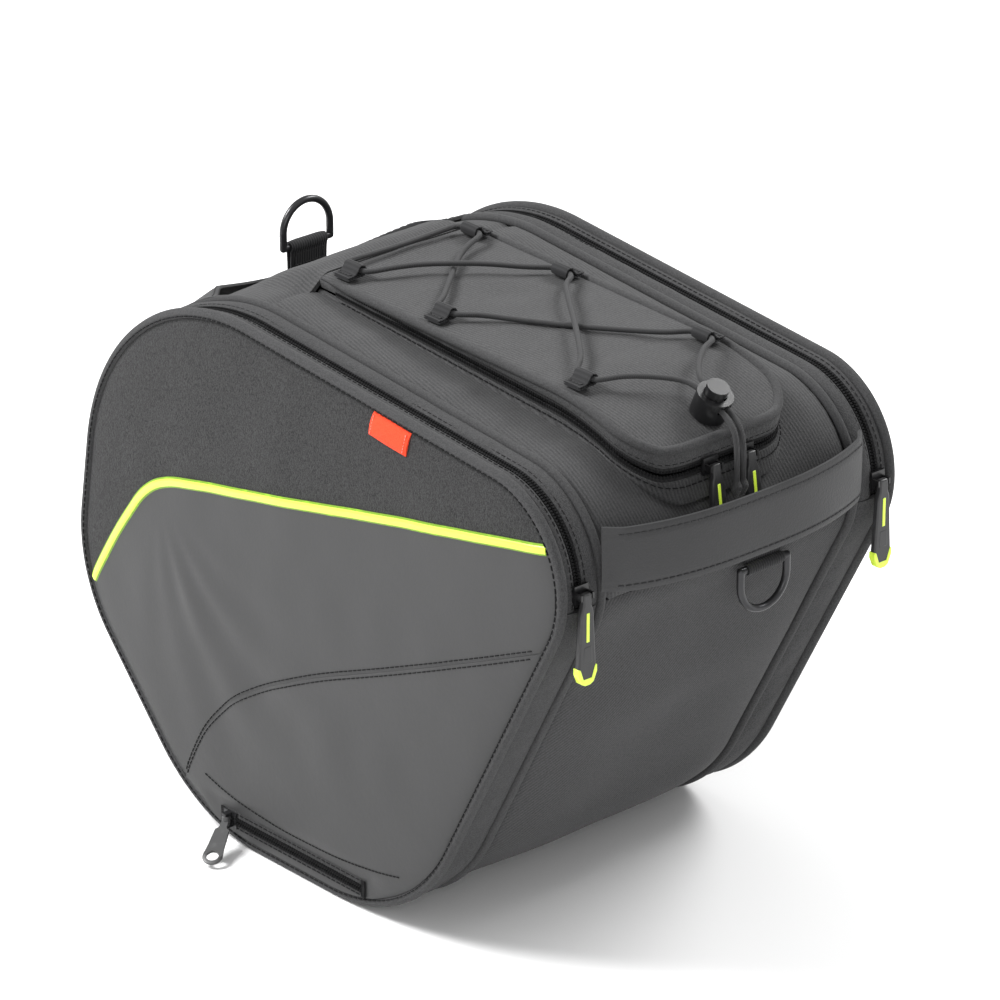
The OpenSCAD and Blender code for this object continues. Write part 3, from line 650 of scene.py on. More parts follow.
# The face's lower and upper edge, each from rear to front
_front, _rear = np.argmax(RIM_XZ[:, 0]), np.argmin(RIM_XZ[:, 0])
_loop = np.arange(_rear, _rear + len(RIM_XZ)) % len(RIM_XZ)
_cut = int(np.where(_loop == _front)[0][0])
LOW_X, LOW_Z = RIM_XZ[_loop[:_cut + 1]].T
HIGH_X, HIGH_Z = RIM_XZ[_loop[_cut:]].T[:, ::-1]


def face_share(x, z):
    """How far out a point of the face is: 0 at its middle, 1 at its edge."""
    a = np.arctan2(z - FACE_C[1], x - FACE_C[0])
    reach = np.interp(a, RIM_ANGLE[RIM_ORDER], RIM_REACH[RIM_ORDER], period=2 * math.pi)
    return np.hypot(x - FACE_C[0], z - FACE_C[1]) / reach


def face_out(x, z):
    """Distance of the face's cloth from the middle plane: a dome with fanned creases, flat at the zip."""
    f = np.clip(face_share(x, z), 0, 1)
    dome = 5.5 * (1 - f ** 3) + 1.6 * (1 - np.exp(-(1 - f) / 0.03)) - 1.2
    dx, dz = x - CREASES_X, z - CREASES_Z
    reach = np.hypot(dx, dz) + 1e-6
    turn = np.arctan2(dz, dx)
    fan = np.sin(17 * turn + 1.2 * np.sin(reach / 31)) * bump_at(turn, -0.95, 0.55)
    fan = fan * smooth(12, 60, reach) * (1 - smooth(110, 215, reach)) * 0.75
    p = np.stack([x, z * 0.6, np.full_like(x, FACE_SEED * 37.0)], -1)
    soft = 0.55 * waves(p, 90, FACE_SEED) + 0.22 * waves(p, 34, FACE_SEED + 1)
    zip_flat = np.exp(-((z - BOTTOM_ZIP_Z) / 11) ** 4) * smooth(-92, -76, x) * (1 - smooth(46, 60, x))
    rise = dome + (fan + soft) * (1 - f ** 6)
    return FACE_Y - 0.6 + rise * (1 - zip_flat) - 0.2 * zip_flat


def face_grid(x, z, proud):
    return xyz(x, -(face_out(x, z) + proud), z)


def rounded_line(points, radius, step=3.0):
    """A line through points with its corners eased, evenly spaced."""
    pts = np.array(points, float)
    fine = []
    for a, b in zip(pts[:-1], pts[1:]):
        n = max(2, int(np.linalg.norm(b - a) / step))
        fine += [a + (b - a) * k / n for k in range(n)]
    fine = np.array(fine + [pts[-1]])
    reach = max(1, int(radius / step))
    out = fine.copy()
    for i in range(1, len(fine) - 1):
        r = min(reach, i, len(fine) - 1 - i)
        out[i] = fine[i - r:i + r + 1].mean(0)
    return out


STRIP = rounded_line(STRIP_LINE, 12)
SEAM = rounded_line(SEAM_LINE, 24)


def panel_below(line, proud, columns=150, rows=46):
    """Outer and inner grid of the face's cloth below a line, down to the face's edge."""
    x0, x1 = max(line[0, 0], LOW_X[0] + 0.3), min(line[-1, 0], LOW_X[-1] - 0.3)
    t = (1 - np.cos(np.linspace(0, math.pi, columns))) / 2
    x = x0 + (x1 - x0) * (0.5 * t + 0.5 * np.linspace(0, 1, columns))
    low = np.interp(x, LOW_X, LOW_Z)
    top = np.minimum(np.interp(x, line[:, 0], line[:, 1]), np.interp(x, HIGH_X, HIGH_Z))
    top = np.maximum(top, low + 0.2)
    xs = np.repeat(x[:, None], rows, 1)
    zs = low[:, None] + (top - low)[:, None] * np.linspace(0, 1, rows)[None]
    return face_grid(xs, zs, proud), face_grid(xs, zs, proud - 1.2)


def bend_at_fold(obj, s, slot, *nodes):
    """Cloth of a pocket's face, handed to bend() with the flap and a narrow band at the fold; it is baked in
    place and does not turn with the flap.
    """
    y, half = s * (FACE_Y + 1), 6.0
    bend(obj, FLAP[s], (0, y, FOLD_Z - half), (0, y, FOLD_Z + half), slot, *nodes)


def make_faces():
    f = np.concatenate([np.linspace(0, 0.86, 26), 1 - 0.14 * (1 - np.linspace(0, 1, 15)[1:]) ** 1.6])
    xz = FACE_C + (RIM_XZ[None] - FACE_C) * f[:, None, None]
    skin = face_grid(xz[..., 0], xz[..., 1], 0).transpose(1, 0, 2)
    under = skin + np.array([0, 3.0, 0])
    middle, lower = panel_below(STRIP, 0.5), panel_below(SEAM, 1.0)
    for s, word in SIDES:
        whole = shell(word + "_face_cloth", side(skin, s), side(under, s), FACE, wrap=True)
        bend_at_fold(whole, s, "body_cloth", word + "_face_upper", word + "_face_lower")
        panel = shell(word + "_face_middle", side(middle[0], s), side(middle[1], s), MID)
        bend_at_fold(panel, s, "face_cloth")
        panel = shell(word + "_face_coated", side(lower[0], s), side(lower[1], s), COATED)
        piece(panel, "bag", "coated_cloth", *(["coated_panels"] if s > 0 else []))
        make_strip(s, word)
        for k, (drop, proud) in enumerate(((2.0, 1.0), (-2.2, 0.5))):
            line = np.array([(x, z - drop) for x, z in SEAM if face_share(x, z - drop) < 0.975])
            path = side(face_grid(line[:, 0], line[:, 1], proud), s)
            sew(f"{word}_face_stitches_{k}", path, (0, s, 0), "bag", "coated_cloth")


def make_strip(s, word):
    """The bright strip, with a painted glow, and its darker edge, on the seam over the middle panel."""
    line = np.array([p for p in STRIP if face_share(*p) < 1.0])
    t = unit(np.gradient(line, axis=0))
    across = np.stack([-t[:, 1], t[:, 0]], 1)
    k = np.linspace(-1, 1, 7)
    nodes = [word + "_strip_upper"] + (["strips_lower"] if s > 0 else [])
    for name, half, crown, finish, stands_for in (("strip", 2.0, 1.5, GLOWING_NEON, nodes),
                                                  ("strip_edge", 2.9, 1.05, NEON_EDGE, [])):
        xz = line[:, None] + across[:, None] * (k * half)[None, :, None]
        outer = face_grid(xz[..., 0], xz[..., 1], (crown - 0.5 * np.abs(k) ** 4)[None])
        inner = face_grid(xz[..., 0], xz[..., 1], 0.1)
        strip = shell(f"{word}_{name}", side(outer, s), side(inner, s), finish)
        bend_at_fold(strip, s, "reflective", *stands_for)


# ------------------------------------------------------------------ pipings
def make_pipings():
    s_all = np.linspace(0, EDGE.length, 421)[:-1]
    for s, word in SIDES:
        path = side(on_edge(s_all, -(FACE_Y - 2.9), -2.9), s)
        rope = tube(word + "_face_piping_rope", path, 2.85, PIPING, 12, closed=True)
        bend_at_fold(rope, s, "piping", word + "_face_piping", word + "_lower_piping")
        path = side(on_edge(s_all, -(BODY_Y + 2.5), -2.7), s)
        rope = tube(word + "_body_piping_rope", path, 2.5, PIPING, 12, closed=True)
        piece(rope, "bag", "piping", word + "_body_piping")
        for part, s0, s1, body in (("lower", S_FOLD_REAR, EDGE.length + S_FOLD_FRONT, "bag"),
                                   ("upper", S_FOLD_FRONT, S_FOLD_REAR, FLAP[s])):
            path = side(on_edge(np.arange(s0, s1, 2.0), -(FACE_Y - 0.1), -4.2), s)
            sew(f"{word}_face_edge_stitches_{part}", path, (0, s, 0), body, "piping", width=0.5)


# ------------------------------------------------------------------ pocket gussets and zips
def gusset_strip(name, s_range, y0, y1, puff, s, cols, seed=1, thick=1.0, base=SKIN, material=GUSSET):
    """A sewn strip of the gusset between two places across, puffed between its edges."""
    a = np.linspace(*s_range, max(8, int((s_range[1] - s_range[0]) / 3.0)))[:, None]
    k = np.linspace(0, 1, cols)[None]
    y = -(y0 + (y1 - y0) * k)
    arch = np.sin(math.pi * k)
    rise = puff * arch ** 0.7
    pts = on_edge(a, y, base + rise)
    wob = 0.35 * waves(pts, 46, seed) + 0.18 * waves(pts, 17, seed + 5)
    outer = on_edge(a, y, base + rise + wob * arch * puff * 0.7)
    inner = on_edge(a, y, base - thick + rise * 0.5)
    return shell(name, side(outer, s), side(inner, s), material)


def make_gussets():
    upper = (S_FOLD_FRONT + 0.3, S_FOLD_REAR - 0.3)
    lower = (S_FOLD_REAR + 0.3, EDGE.length + S_FOLD_FRONT - 0.3)
    a = np.arange(upper[0] + 1, upper[1] - 1, 2.0)
    for s, word in SIDES:
        right = s < 0
        strip = gusset_strip(word + "_gusset_lower", lower, GUSSET_Y0, GUSSET_Y1, 1.9, s, 21, 11 + s, 1.8)
        piece(strip, "bag", "body_cloth", *(["pocket_gussets"] if right else []))
        strip = gusset_strip(word + "_gusset_inner", upper, GUSSET_Y0, ZIP_Y - 2.6, 1.5, s, 9, 21 + s)
        piece(strip, "bag", "body_cloth", *(["inner_gussets"] if right else []))
        strip = gusset_strip(word + "_gusset_outer", upper, ZIP_Y + 2.6, GUSSET_Y1, 0.6, s, 7, 31 + s)
        piece(strip, FLAP[s], "body_cloth", word + "_outer_gusset")
        for part, sign, body, nodes in (("inner", -1, "bag", ["inner_zips"] if right else []),
                                        ("outer", 1, FLAP[s], [word + "_outer_zip"])):
            y0 = ZIP_Y + sign * ZIP_GAP / 2
            tape = gusset_strip(f"{word}_{part}_tape", upper, y0, y0 + sign * 4.6, 0.05, s, 4,
                                thick=0.9, base=-3.9, material=TAPE)
            piece(tape, body, "zip_tape", *nodes)
            path = side(on_edge(a, -y0, -3.75), s)
            coil(f"{word}_{part}_teeth", path, edge_normal, (0, sign * s, 0), body)
            path = side(on_edge(a, -(ZIP_Y + sign * 4.3), SKIN + 0.45), s)
            sew(f"{word}_{part}_zip_stitches", path, edge_normal, body, "body_cloth", width=FINE)


# ------------------------------------------------------------------ the main body's cloth
def seam_tuck(ends, y):
    """How the cloth dips at the seams it ends in."""
    return np.exp(-ends / 1.3) + 0.6 * np.exp(-(BODY_Y - np.abs(y)) / 1.5)


def body_panel(name, s0, s1, bulge, material, seed, base=SKIN, thick=PANEL_T, tuck=1.1):
    """A panel of the main body between two seams that run across it, bulging by its height."""
    a = np.linspace(s0, s1, max(8, int((s1 - s0) / 3.0)))[:, None]
    k = np.linspace(-1, 1, 57)[None]
    y = k * (BODY_Y + 0.3)
    ends = np.minimum(a - s0, s1 - a)
    rise = bulge(EDGE.at(a)[1]) * (1 - np.abs(k) ** 4.5)
    pts = on_edge(a, y, 0)
    wob = 0.7 * waves(pts, 110, seed) + 0.28 * waves(pts, 42, seed + 1)
    wob = wob * (1 - k ** 4) * smooth(0, 22, ends) * (0.25 + np.clip(rise, 0, 8) / 8)
    outer = on_edge(a, y, base + rise + wob - tuck * seam_tuck(ends, y))
    inner = on_edge(a, y, base - thick + rise * 0.9)
    return shell(name, outer, inner, material)


def make_body():
    def front(z):
        return 9.5 * (1 - smooth(130, 204, z)) * smooth(12, 60, z) + 0.6

    def rear(z):
        return 6.5 * smooth(12, 70, z) * (1 - smooth(190, 232, z)) + 0.3

    def flat(z):
        return 0 * z

    panel = body_panel("front_end_cloth", S_BASE_FRONT, S_END_SEAM, front, END, 41)
    piece(panel, "bag", "body_cloth", "front_lower_panel")
    panel = body_panel("rear_end_cloth", S_REAR_SEAM, S_BASE_REAR, rear, END, 43)
    piece(panel, "bag", "body_cloth", "rear_end_panel")
    panel = body_panel("base_cloth_panel", S_BASE_REAR, EDGE.length + S_BASE_FRONT, flat, BASE, 45,
                       base=-0.7, thick=5.0, tuck=0.5)
    piece(panel, "bag", "base_cloth", "base_panel")


# ------------------------------------------------------------------ rim round the lid
def rim_rows():
    """Inner points on the lid's plan and outer points at the body's seams, matched one to one."""
    plan = lid_contour(grow=0.4)
    inner, outer = [], []
    seam_half = 44
    s0 = s_over(LID_CORNER_X)
    for x, y, nx, ny in plan:
        sign = -1 if y < 0 else 1
        inner.append((s_over(x), y))
        corner = math.degrees(math.atan2(nx, abs(ny) + 1e-9)) / 90
        if x <= LID_CORNER_X + 1e-6:
            outer.append((s_over(x), sign * BODY_Y))
        elif corner < 89 / 90:
            down, across = min(1, corner / 0.62), max(0, (corner - 0.62) / 0.38)
            outer.append((s0 + (S_END_SEAM - s0) * down, sign * (BODY_Y + (seam_half - BODY_Y) * across)))
        else:
            outer.append((S_END_SEAM, y / LID_CORNER_Y * seam_half))
    return plan, np.array(inner)[:, None], np.array(outer)[:, None]


def make_rim():
    plan, start, stop = rim_rows()
    v = np.concatenate([[0], np.linspace(0.03, 1, 17)])[None]
    s, y = [start[..., k] + (stop - start)[..., k] * v for k in range(2)]
    arch = np.sin(math.pi * v)
    puff = 2.6 * arch ** 0.8
    base = on_edge(s, y, 0)
    wob = 0.5 * waves(base, 60, 51) * arch + 0.35 * waves(base, 24, 52) * arch
    skin = on_edge(s, y, SKIN + puff + wob - np.exp(-(1 - v) / 0.03))
    under = on_edge(s, y, SKIN - PANEL_T + puff * 0.6)
    top = zip_line_z(plan[:, 0]) - ZIP_GAP / 2 - 3.0
    foot = skin[:, 0, 2]
    normal = xyz(plan[:, 2], plan[:, 3], 0)
    rows = []
    for k in (1.0, 0.72, 0.45, 0.2, 0.06):
        lean = 0.9 * (1 - k) ** 2
        rows.append(xyz(plan[:, 0], plan[:, 1], foot + np.maximum(top - foot, 0.4) * k) + normal * lean)
    wall = np.stack(rows, 1)
    wall_in = wall - normal[:, None] * 2.0
    wall_in[:, -1, 2] -= 1.5
    outer = np.concatenate([wall, skin[:, 1:]], 1)
    inner = np.concatenate([wall_in, under[:, 1:]], 1)
    piece(shell("rim_cloth", outer, inner, BODY), "bag", "body_cloth", "top_rim_panel", "front_upper_panel")
    path = (wall[:, 1] + normal * 0.2)[6:-6]
    sew("rim_zip_stitches", path, plan_normal, "bag", "body_cloth", width=FINE)


def make_rear_top():
    """Cloth behind the lid: it rises from the rear shoulder to the lid's hinge line."""
    s0, s1 = s_over(LID_X0 - 0.2), S_REAR_SEAM
    a = np.linspace(s0, s1, 60)[:, None]
    y = np.linspace(-BODY_Y - 0.3, BODY_Y + 0.3, 73)[None]
    k = y / BODY_Y
    gap = a - s0
    ends = np.minimum(gap + 8, s1 - a)
    rise = 9.8 * (1 - smooth(2, 66, gap)) * (1 - smooth(46, 64, np.abs(y)))
    rise = rise + 1.6 * (1 - np.abs(k) ** 3) * smooth(0, 20, ends)
    rise -= 1.8 * bump_at(gap, 5, 5)                       # the open lid's cord comes to rest in this hollow
    pts = on_edge(a, y, 0)
    wob = (0.5 * waves(pts, 70, 61) + 0.3 * waves(pts, 26, 62)) * (1 - k ** 4) * smooth(0, 25, ends)
    near_web = bump_at(pts[..., 0], RING_X, 12) * (np.abs(pts[..., 1]) < 18)
    wob *= smooth(0, 12, gap) * (1 - near_web)
    outer = on_edge(a, y, SKIN + rise + wob - 1.1 * seam_tuck(ends, y))
    inner = on_edge(a, y, SKIN - PANEL_T + rise * 0.95)
    piece(shell("rear_top_cloth", outer, inner, BODY), "bag", "body_cloth", "top_rear_panel")


# ------------------------------------------------------------------ lid
def make_lid_top():
    x = LID_X0 + 0.4 + (LID_X1 - LID_X0 - 0.4) * np.sin(np.linspace(0, math.pi / 2, 90)) ** 1.15
    over = np.clip(x - LID_CORNER_X, 0, LID_CORNER)
    half = (LID_CORNER_Y + np.sqrt(np.maximum(LID_CORNER ** 2 - over ** 2, 0)))[:, None]
    x = x[:, None]
    y = np.sin(np.linspace(-math.pi / 2, math.pi / 2, 47))[None] * half
    from_edge = np.minimum(half - np.abs(y), LID_X1 - x)
    sink = 2.2 * np.exp(-from_edge / 5.5) + 1.2 * np.exp(-from_edge / 1.2)
    pts = xyz(x, y, 0)
    wob = 0.42 * waves(pts, 64, 71) + 0.25 * waves(pts, 23, 72) - 0.45
    outer = xyz(x, y, lid_top_z(x) - sink + wob * smooth(0, 14, from_edge))
    inner = xyz(x, y * 0.985, lid_top_z(x) - sink * 0.4 - 6.0)
    piece(shell("lid_cloth_top", outer, inner, LID), "lid", "lid_cloth", "lid_top", "lid_foam")


def make_lid_wall():
    plan = lid_contour(start=LID_X0 + 1)
    normal = xyz(plan[:, 2], plan[:, 3], 0)
    high = lid_top_z(plan[:, 0]) - 2.0
    low = np.minimum(zip_line_z(plan[:, 0]) + ZIP_GAP / 2 + 3.0, high - 0.5)
    k = np.linspace(0, 1, 8)[None]
    puff = 0.7 * np.sin(math.pi * k) * np.clip((high - low) / 6, 0, 1)[:, None]
    outer = xyz(plan[:, :1], plan[:, 1:2], high[:, None] + (low - high)[:, None] * k)
    outer = outer + normal[:, None] * puff[..., None]
    wall = shell("lid_cloth_wall", outer, outer - normal[:, None] * 2.2, WALL)
    piece(wall, "lid", "body_cloth", "lid_wall")
    path = xyz(plan[:, 0], plan[:, 1], lid_top_z(plan[:, 0]) - 2.1) - normal * 0.6
    radius = 0.7 + 1.9 * smooth(LID_X0, LID_X0 + 30, plan[:, 0])
    piece(tube("lid_piping_rope", path, radius, PIPING, up=(0, 0, 1)), "lid", "piping", "lid_piping")


def make_lid_zip():
    plan = lid_contour(start=LID_X0 + 12)
    x, y = plan[:, 0], plan[:, 1]
    normal = xyz(plan[:, 2], plan[:, 3], 0)
    mid = xyz(x, y, zip_line_z(x)) - normal * 1.25
    up = np.array([0, 0, 1])
    for word, sign, body in (("lower", -1, "bag"), ("upper", 1, "lid")):
        strip = mid[:, None] + sign * up * np.array([ZIP_GAP / 2, 2.4, 5.2])[None, :, None]
        if sign > 0:
            strip[..., 2] = np.minimum(strip[..., 2], (lid_top_z(x) - 2.6)[:, None])
        tape = shell(f"lid_tape_{word}", strip + normal[:, None] * 0.5, strip - normal[:, None] * 0.5, TAPE)
        piece(tape, body, "zip_tape", f"lid_zip_{word}")
        coil(f"lid_teeth_{word}", mid + sign * up * ZIP_GAP / 2, plan_normal, sign * up, body)
    path = xyz(x, y, np.minimum(zip_line_z(x) + 5.6, lid_top_z(x) - 3))[4:-4]
    sew("lid_zip_stitches", path, plan_normal, "lid", "body_cloth", width=FINE)


# ------------------------------------------------------------------ the cord over the lid
CORD_D = 3.0
LOOP_X = (-49.0, 21.0, 125.0)
LOOP_Y = 40.0
# The cord's route from one free end to the other, in metres
CORD_ROUTE = [
    (0.1935, -0.0022, 0.252), (0.1935, -0.0022, 0.263), (0.1935, -0.0022, 0.274),
    (0.193, -0.0022, 0.281), (0.1905, -0.0022, 0.288), (0.183, -0.0022, 0.2935),
    (0.174, -0.0022, 0.2975), (0.1655, -0.0022, 0.3014), (0.158, -0.005, 0.3039),
    (0.148, -0.015, 0.3055), (0.139, -0.027, 0.3064), (0.135, -0.036, 0.306), (0.1318, -0.0397, 0.3053),
    (0.125, -0.04, 0.3052), (0.1182, -0.0397, 0.3053), (0.115, -0.0365, 0.306), (0.11, -0.029, 0.307),
    (0.095, -0.017, 0.3082), (0.073, 0, 0.3088), (0.05, 0.017, 0.3088), (0.036, 0.028, 0.3086),
    (0.031, 0.036, 0.3084), (0.0278, 0.0397, 0.3084), (0.021, 0.04, 0.3084), (0.0142, 0.0397, 0.3084),
    (0.011, 0.036, 0.3086), (0.006, 0.028, 0.3094), (-0.007, 0.013, 0.3114), (-0.018, 0, 0.3118),
    (-0.029, -0.013, 0.3115), (-0.036, -0.026, 0.3109), (-0.039, -0.036, 0.3106),
    (-0.0422, -0.0397, 0.3105), (-0.049, -0.04, 0.3105), (-0.0558, -0.0397, 0.3105),
    (-0.0586, -0.037, 0.3105), (-0.0593, -0.03, 0.3102), (-0.0593, 0, 0.3094), (-0.0593, 0.03, 0.3102),
    (-0.0586, 0.037, 0.3105), (-0.0558, 0.0397, 0.3105), (-0.049, 0.04, 0.3105),
    (-0.0422, 0.0397, 0.3105), (-0.039, 0.036, 0.3104), (-0.036, 0.026, 0.3097),
    (-0.029, 0.013, 0.3084), (-0.018, 0, 0.3081), (-0.007, -0.013, 0.308), (0.006, -0.028, 0.3081),
    (0.011, -0.036, 0.3083), (0.0142, -0.0397, 0.3084), (0.021, -0.04, 0.3084),
    (0.0278, -0.0397, 0.3084), (0.031, -0.036, 0.3082), (0.036, -0.028, 0.3074), (0.05, -0.017, 0.306),
    (0.073, 0, 0.305), (0.095, 0.017, 0.3048), (0.11, 0.029, 0.305), (0.115, 0.0365, 0.3052),
    (0.1182, 0.0397, 0.3052), (0.125, 0.04, 0.3052), (0.1318, 0.0397, 0.3053), (0.135, 0.036, 0.306),
    (0.139, 0.027, 0.3064), (0.148, 0.015, 0.3055), (0.158, 0.005, 0.3039), (0.1655, 0.0022, 0.3014),
    (0.174, 0.0022, 0.2975), (0.183, 0.0022, 0.2935), (0.1905, 0.0022, 0.288), (0.193, 0.0022, 0.281),
    (0.1935, 0.0022, 0.274), (0.1935, 0.0022, 0.263), (0.1935, 0.0022, 0.252),
]


def untwisted(path):
    """Two directions across a path that don't twist about it."""
    d = unit(np.gradient(path, axis=0))
    u = unit(np.cross(d[0], [0.3, 0.9, 0.2]))
    ups = []
    for t in d:
        u = unit(u - t * (u @ t))
        ups.append(u)
    ups = np.array(ups)
    return ups, np.cross(d, ups)


def make_cord():
    step = 1.2
    path = eased(np.array(CORD_ROUTE) / MM, step)
    u, w = untwisted(path)
    n, sides = len(path), 10
    a = (np.arange(sides) * 2 * math.pi / sides)[None, :, None]
    from_end = np.minimum(np.arange(n), np.arange(n)[::-1]) * step
    knot = 1.5 * bump_at(from_end, 5.0, 2.4)
    r = (CORD_D / 2 + knot - 0.5 * np.exp(-from_end / 0.8))[:, None, None]
    verts = path[:, None] + (u[:, None] * np.cos(a) + w[:, None] * np.sin(a)) * r
    faces = grid_faces(n, sides, wrap_m=True) + caps(n, sides)
    piece(finish_mesh("laced_cord", verts.reshape(-1, 3), faces, CORD), "lid", "cord", "bungee_cord")


def ribbon(name, path, across, width, thick, material):
    """Flat webbing along a path. Across is its width direction."""
    across = np.broadcast_to(np.asarray(across, float), path.shape)
    n = unit(np.cross(np.gradient(path, axis=0), across))
    k = np.linspace(-1, 1, 9)
    half = n[:, None] * (thick / 2 * (1 - 0.5 * np.abs(k) ** 6))[None, :, None]
    spread = path[:, None] + across[:, None] * (k * width / 2)[None, :, None]
    return shell(name, spread + half, spread - half, material)


def make_loops():
    r = 2.85
    ring = [(r * math.cos(t), r * math.sin(t)) for t in np.radians(np.linspace(-62, -298, 26))]
    profile = [(9.2, -3.05), (6.0, -3.0), (3.2, -2.9), *ring]
    profile += [(3.4, -0.6), (5.0, -1.5), (6.4, -1.75), (9.4, -1.8)]
    for k, x in enumerate(LOOP_X):
        z = float(lid_top_z(x - 6)) + 3.7
        for s, word in SIDES:
            path = eased([(x, s * (LOOP_Y + a), z + b) for a, b in profile], 0.7)
            loop = ribbon(f"{word}_cord_loop_{k}", path, (1, 0, 0), 11.6, 1.1, WEBBING)
            piece(loop, "lid", "webbing", *(["bungee_loops"] if s < 0 and k == 0 else []))
            rows = []
            start, y, stop = s * (LOOP_Y + 5.6), s * (LOOP_Y + 7.4), s * (LOOP_Y + 8.8)
            for off in (-4.2, 4.2):
                rows += stitch_line([(x + off, start, z - 1.0), (x + off, stop, z - 1.05)])
            rows += stitch_line([(x - 4.2, y, z - 1.0), (x + 4.2, y, z - 1.0)])
            piece(boxes(f"{word}_cord_loop_thread_{k}", rows, LIGHT_THREAD), "lid", "webbing")


# ------------------------------------------------------------------ straps, webbing and rings
STRAP_W, STRAP_T = 34.0, 3.0
STRAP_END = 88.0
STRAP_Z = BAG_H - 57
STRAP_BOW = 17.0
STRAP_TIP_X = BAG_L / 2 + 3.6
STRAP_SEAM = 0.80                         # the rows of stitches, as a share of half the strap's width
REAR_STRAP_DIR = math.radians(138)
REAR_STRAP_SAG, REAR_STRAP_LIFT = 45.0, -40.0
RING_X, RING_Z = -135.0, 289.0            # the rear ring's bar


def strap_half(name, at, s, body, *nodes):
    """Half of a strap: a padded leather band with bound edges and two rows of stitches."""
    ys = np.linspace(0, s * STRAP_END, 60)
    path, across, out = at(ys)
    k = np.linspace(-1, 1, 27)
    crown = STRAP_T / 2 * (1 - 0.55 * np.abs(k) ** 10) + 0.35 * (1 - k ** 2)
    groove = 0.5 * bump_at(np.abs(k), STRAP_SEAM, 0.045)
    back = STRAP_T / 2 * (1 - 0.5 * np.abs(k) ** 8)
    spread = path[:, None] + across[:, None] * (k * STRAP_W / 2)[None, :, None]
    outer = spread + out[:, None] * (crown - groove)[None, :, None]
    inner = spread - out[:, None] * back[None, :, None]
    start, end = (0, s * 85.0, 0), (0, s * 58.0, 0)
    bend(shell(name, outer, inner, STRAP), body, start, end, "strap", *nodes)
    free = np.abs(ys) < STRAP_END - 3
    for j, place in enumerate((-STRAP_SEAM, STRAP_SEAM)):
        line = path + across * (place * STRAP_W / 2) + out * (STRAP_T / 2 - 0.15)
        row = stitches(line[free], out[len(out) // 2], length=2.8, gap=1.1, width=0.5, proud=0.28)
        bend(boxes(f"{name}_thread_{j}", row, LIGHT_THREAD), body, start, end, "strap")


def front_strap_at(ys):
    """The front strap's middle line, its width direction and its outward direction."""
    share = np.abs(ys) / STRAP_END
    x = STRAP_TIP_X - STRAP_T / 2 + STRAP_BOW * (1 - share ** 2.7) - 3.4 * smooth(0.90, 1.0, share)
    out = unit(xyz(1, -np.gradient(x, ys), 0))
    return xyz(x, ys, STRAP_Z), xyz(0, 0 * ys, 1), out


def rear_strap_at(ys):
    """The same for the rear strap, which lies on the rear shoulder's curve."""
    t = REAR_STRAP_LIFT + REAR_STRAP_SAG * (1 - (ys / STRAP_END) ** 2)
    r = REAR_R + 0.3 + STRAP_T / 2 - 4.2 * smooth(66, 82, np.abs(ys))
    a = REAR_STRAP_DIR + np.arcsin(t / r)
    path = xyz(REAR_X + r * np.cos(a), ys, BAG_H - REAR_R + r * np.sin(a))
    return path, xyz(-np.sin(a), 0, np.cos(a)), xyz(np.cos(a), 0, np.sin(a))


def make_straps():
    for s, word in SIDES:
        for end, at in (("front", front_strap_at), ("rear", rear_strap_at)):
            nodes = [f"{end}_handle"] if s < 0 else []
            strap_half(f"{end}_strap_{word}", at, s, f"{end}_strap", *nodes)


def wound(centre, radius, first, last):
    """Places round a ring's bar, from one angle to another."""
    turn = np.radians(np.linspace(first, last, 30))
    return [(centre[0] + radius * math.cos(t), centre[1] + radius * math.sin(t)) for t in turn]


def make_ring_webbing():
    low, high = [np.array(c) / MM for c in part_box("front_d_ring")]
    ring_y = (low[1] + high[1]) / 2
    loop = wound(((low[0] + high[0]) / 2, high[2] - 2.0), 2.55, -100, 190)
    seat = zip(*EDGE.at(S_END_SEAM - np.array([0.5, 3.0, 6.0]), SKIN + 1.6))
    path = eased([(x, ring_y, z) for x, z in [*seat, *loop[::-1][6:-2]]], 0.8)
    tab = ribbon("front_ring_web", path, (0, 1, 0), 24.6, 1.5, WEBBING)
    piece(tab, "bag", "webbing", "front_ring_webbing")
    loop = wound((RING_X, RING_Z), 2.6, -60, 240)
    profile = [(-133.9, 266), (-133.9, 275), (-133.7, 283), *loop[1:-1]]
    profile += [(-136.3, 283), (-136.1, 275), (-136.1, 266)]
    path = eased([(x, 0, z) for x, z in profile], 0.8)
    tab = ribbon("rear_ring_web", path, (0, 1, 0), 24.6, 1.7, WEBBING)
    piece(tab, "bag", "webbing", "rear_ring_webbing")
    faces = ((-137.05, (-1, 0, 0)), (-133.0, (1, 0, 0)))
    rows = []
    for y in (-9.5, 9.5):
        for x, normal in faces:
            rows += stitch_line([(x, y, 273), (x, y, 285)], normal)
    for z in (279.0, 285.0):
        for x, normal in faces:
            rows += stitch_line([(x, -9.5, z), (x, 9.5, z)], normal)
    piece(boxes("rear_ring_web_thread", rows, LIGHT_THREAD), "bag", "webbing")


# ------------------------------------------------------------------ zips' sliders and pullers
def plate(name, outline, thick, origin, down, material, round_by, segments=2):
    """A rounded flat piece. Its outline is in two directions, across the bag and down, from an origin."""
    across, down = np.array([0, 1, 0]), np.array(down, float)
    out = np.cross(across, down)
    pts = np.array([np.array(origin) + across * a + down * b for a, b in outline])
    n = len(pts)
    verts = np.concatenate([pts + out * thick / 2, pts - out * thick / 2])
    faces = [tuple(range(n)), tuple(range(2 * n - 1, n - 1, -1))]
    faces += [(k, k + n, (k + 1) % n + n, (k + 1) % n) for k in range(n)]
    obj = finish_mesh(name, verts, faces, material)
    rounding = obj.modifiers.new("rounded", "BEVEL")
    rounding.width = round_by * MM
    rounding.segments = segments
    rounding.limit_method = "ANGLE"
    rounding.angle_limit = math.radians(35)
    return obj


def mirrored(right):
    """An outline's right half and its mirror image."""
    return right + [(-a, b) for a, b in right[::-1]]


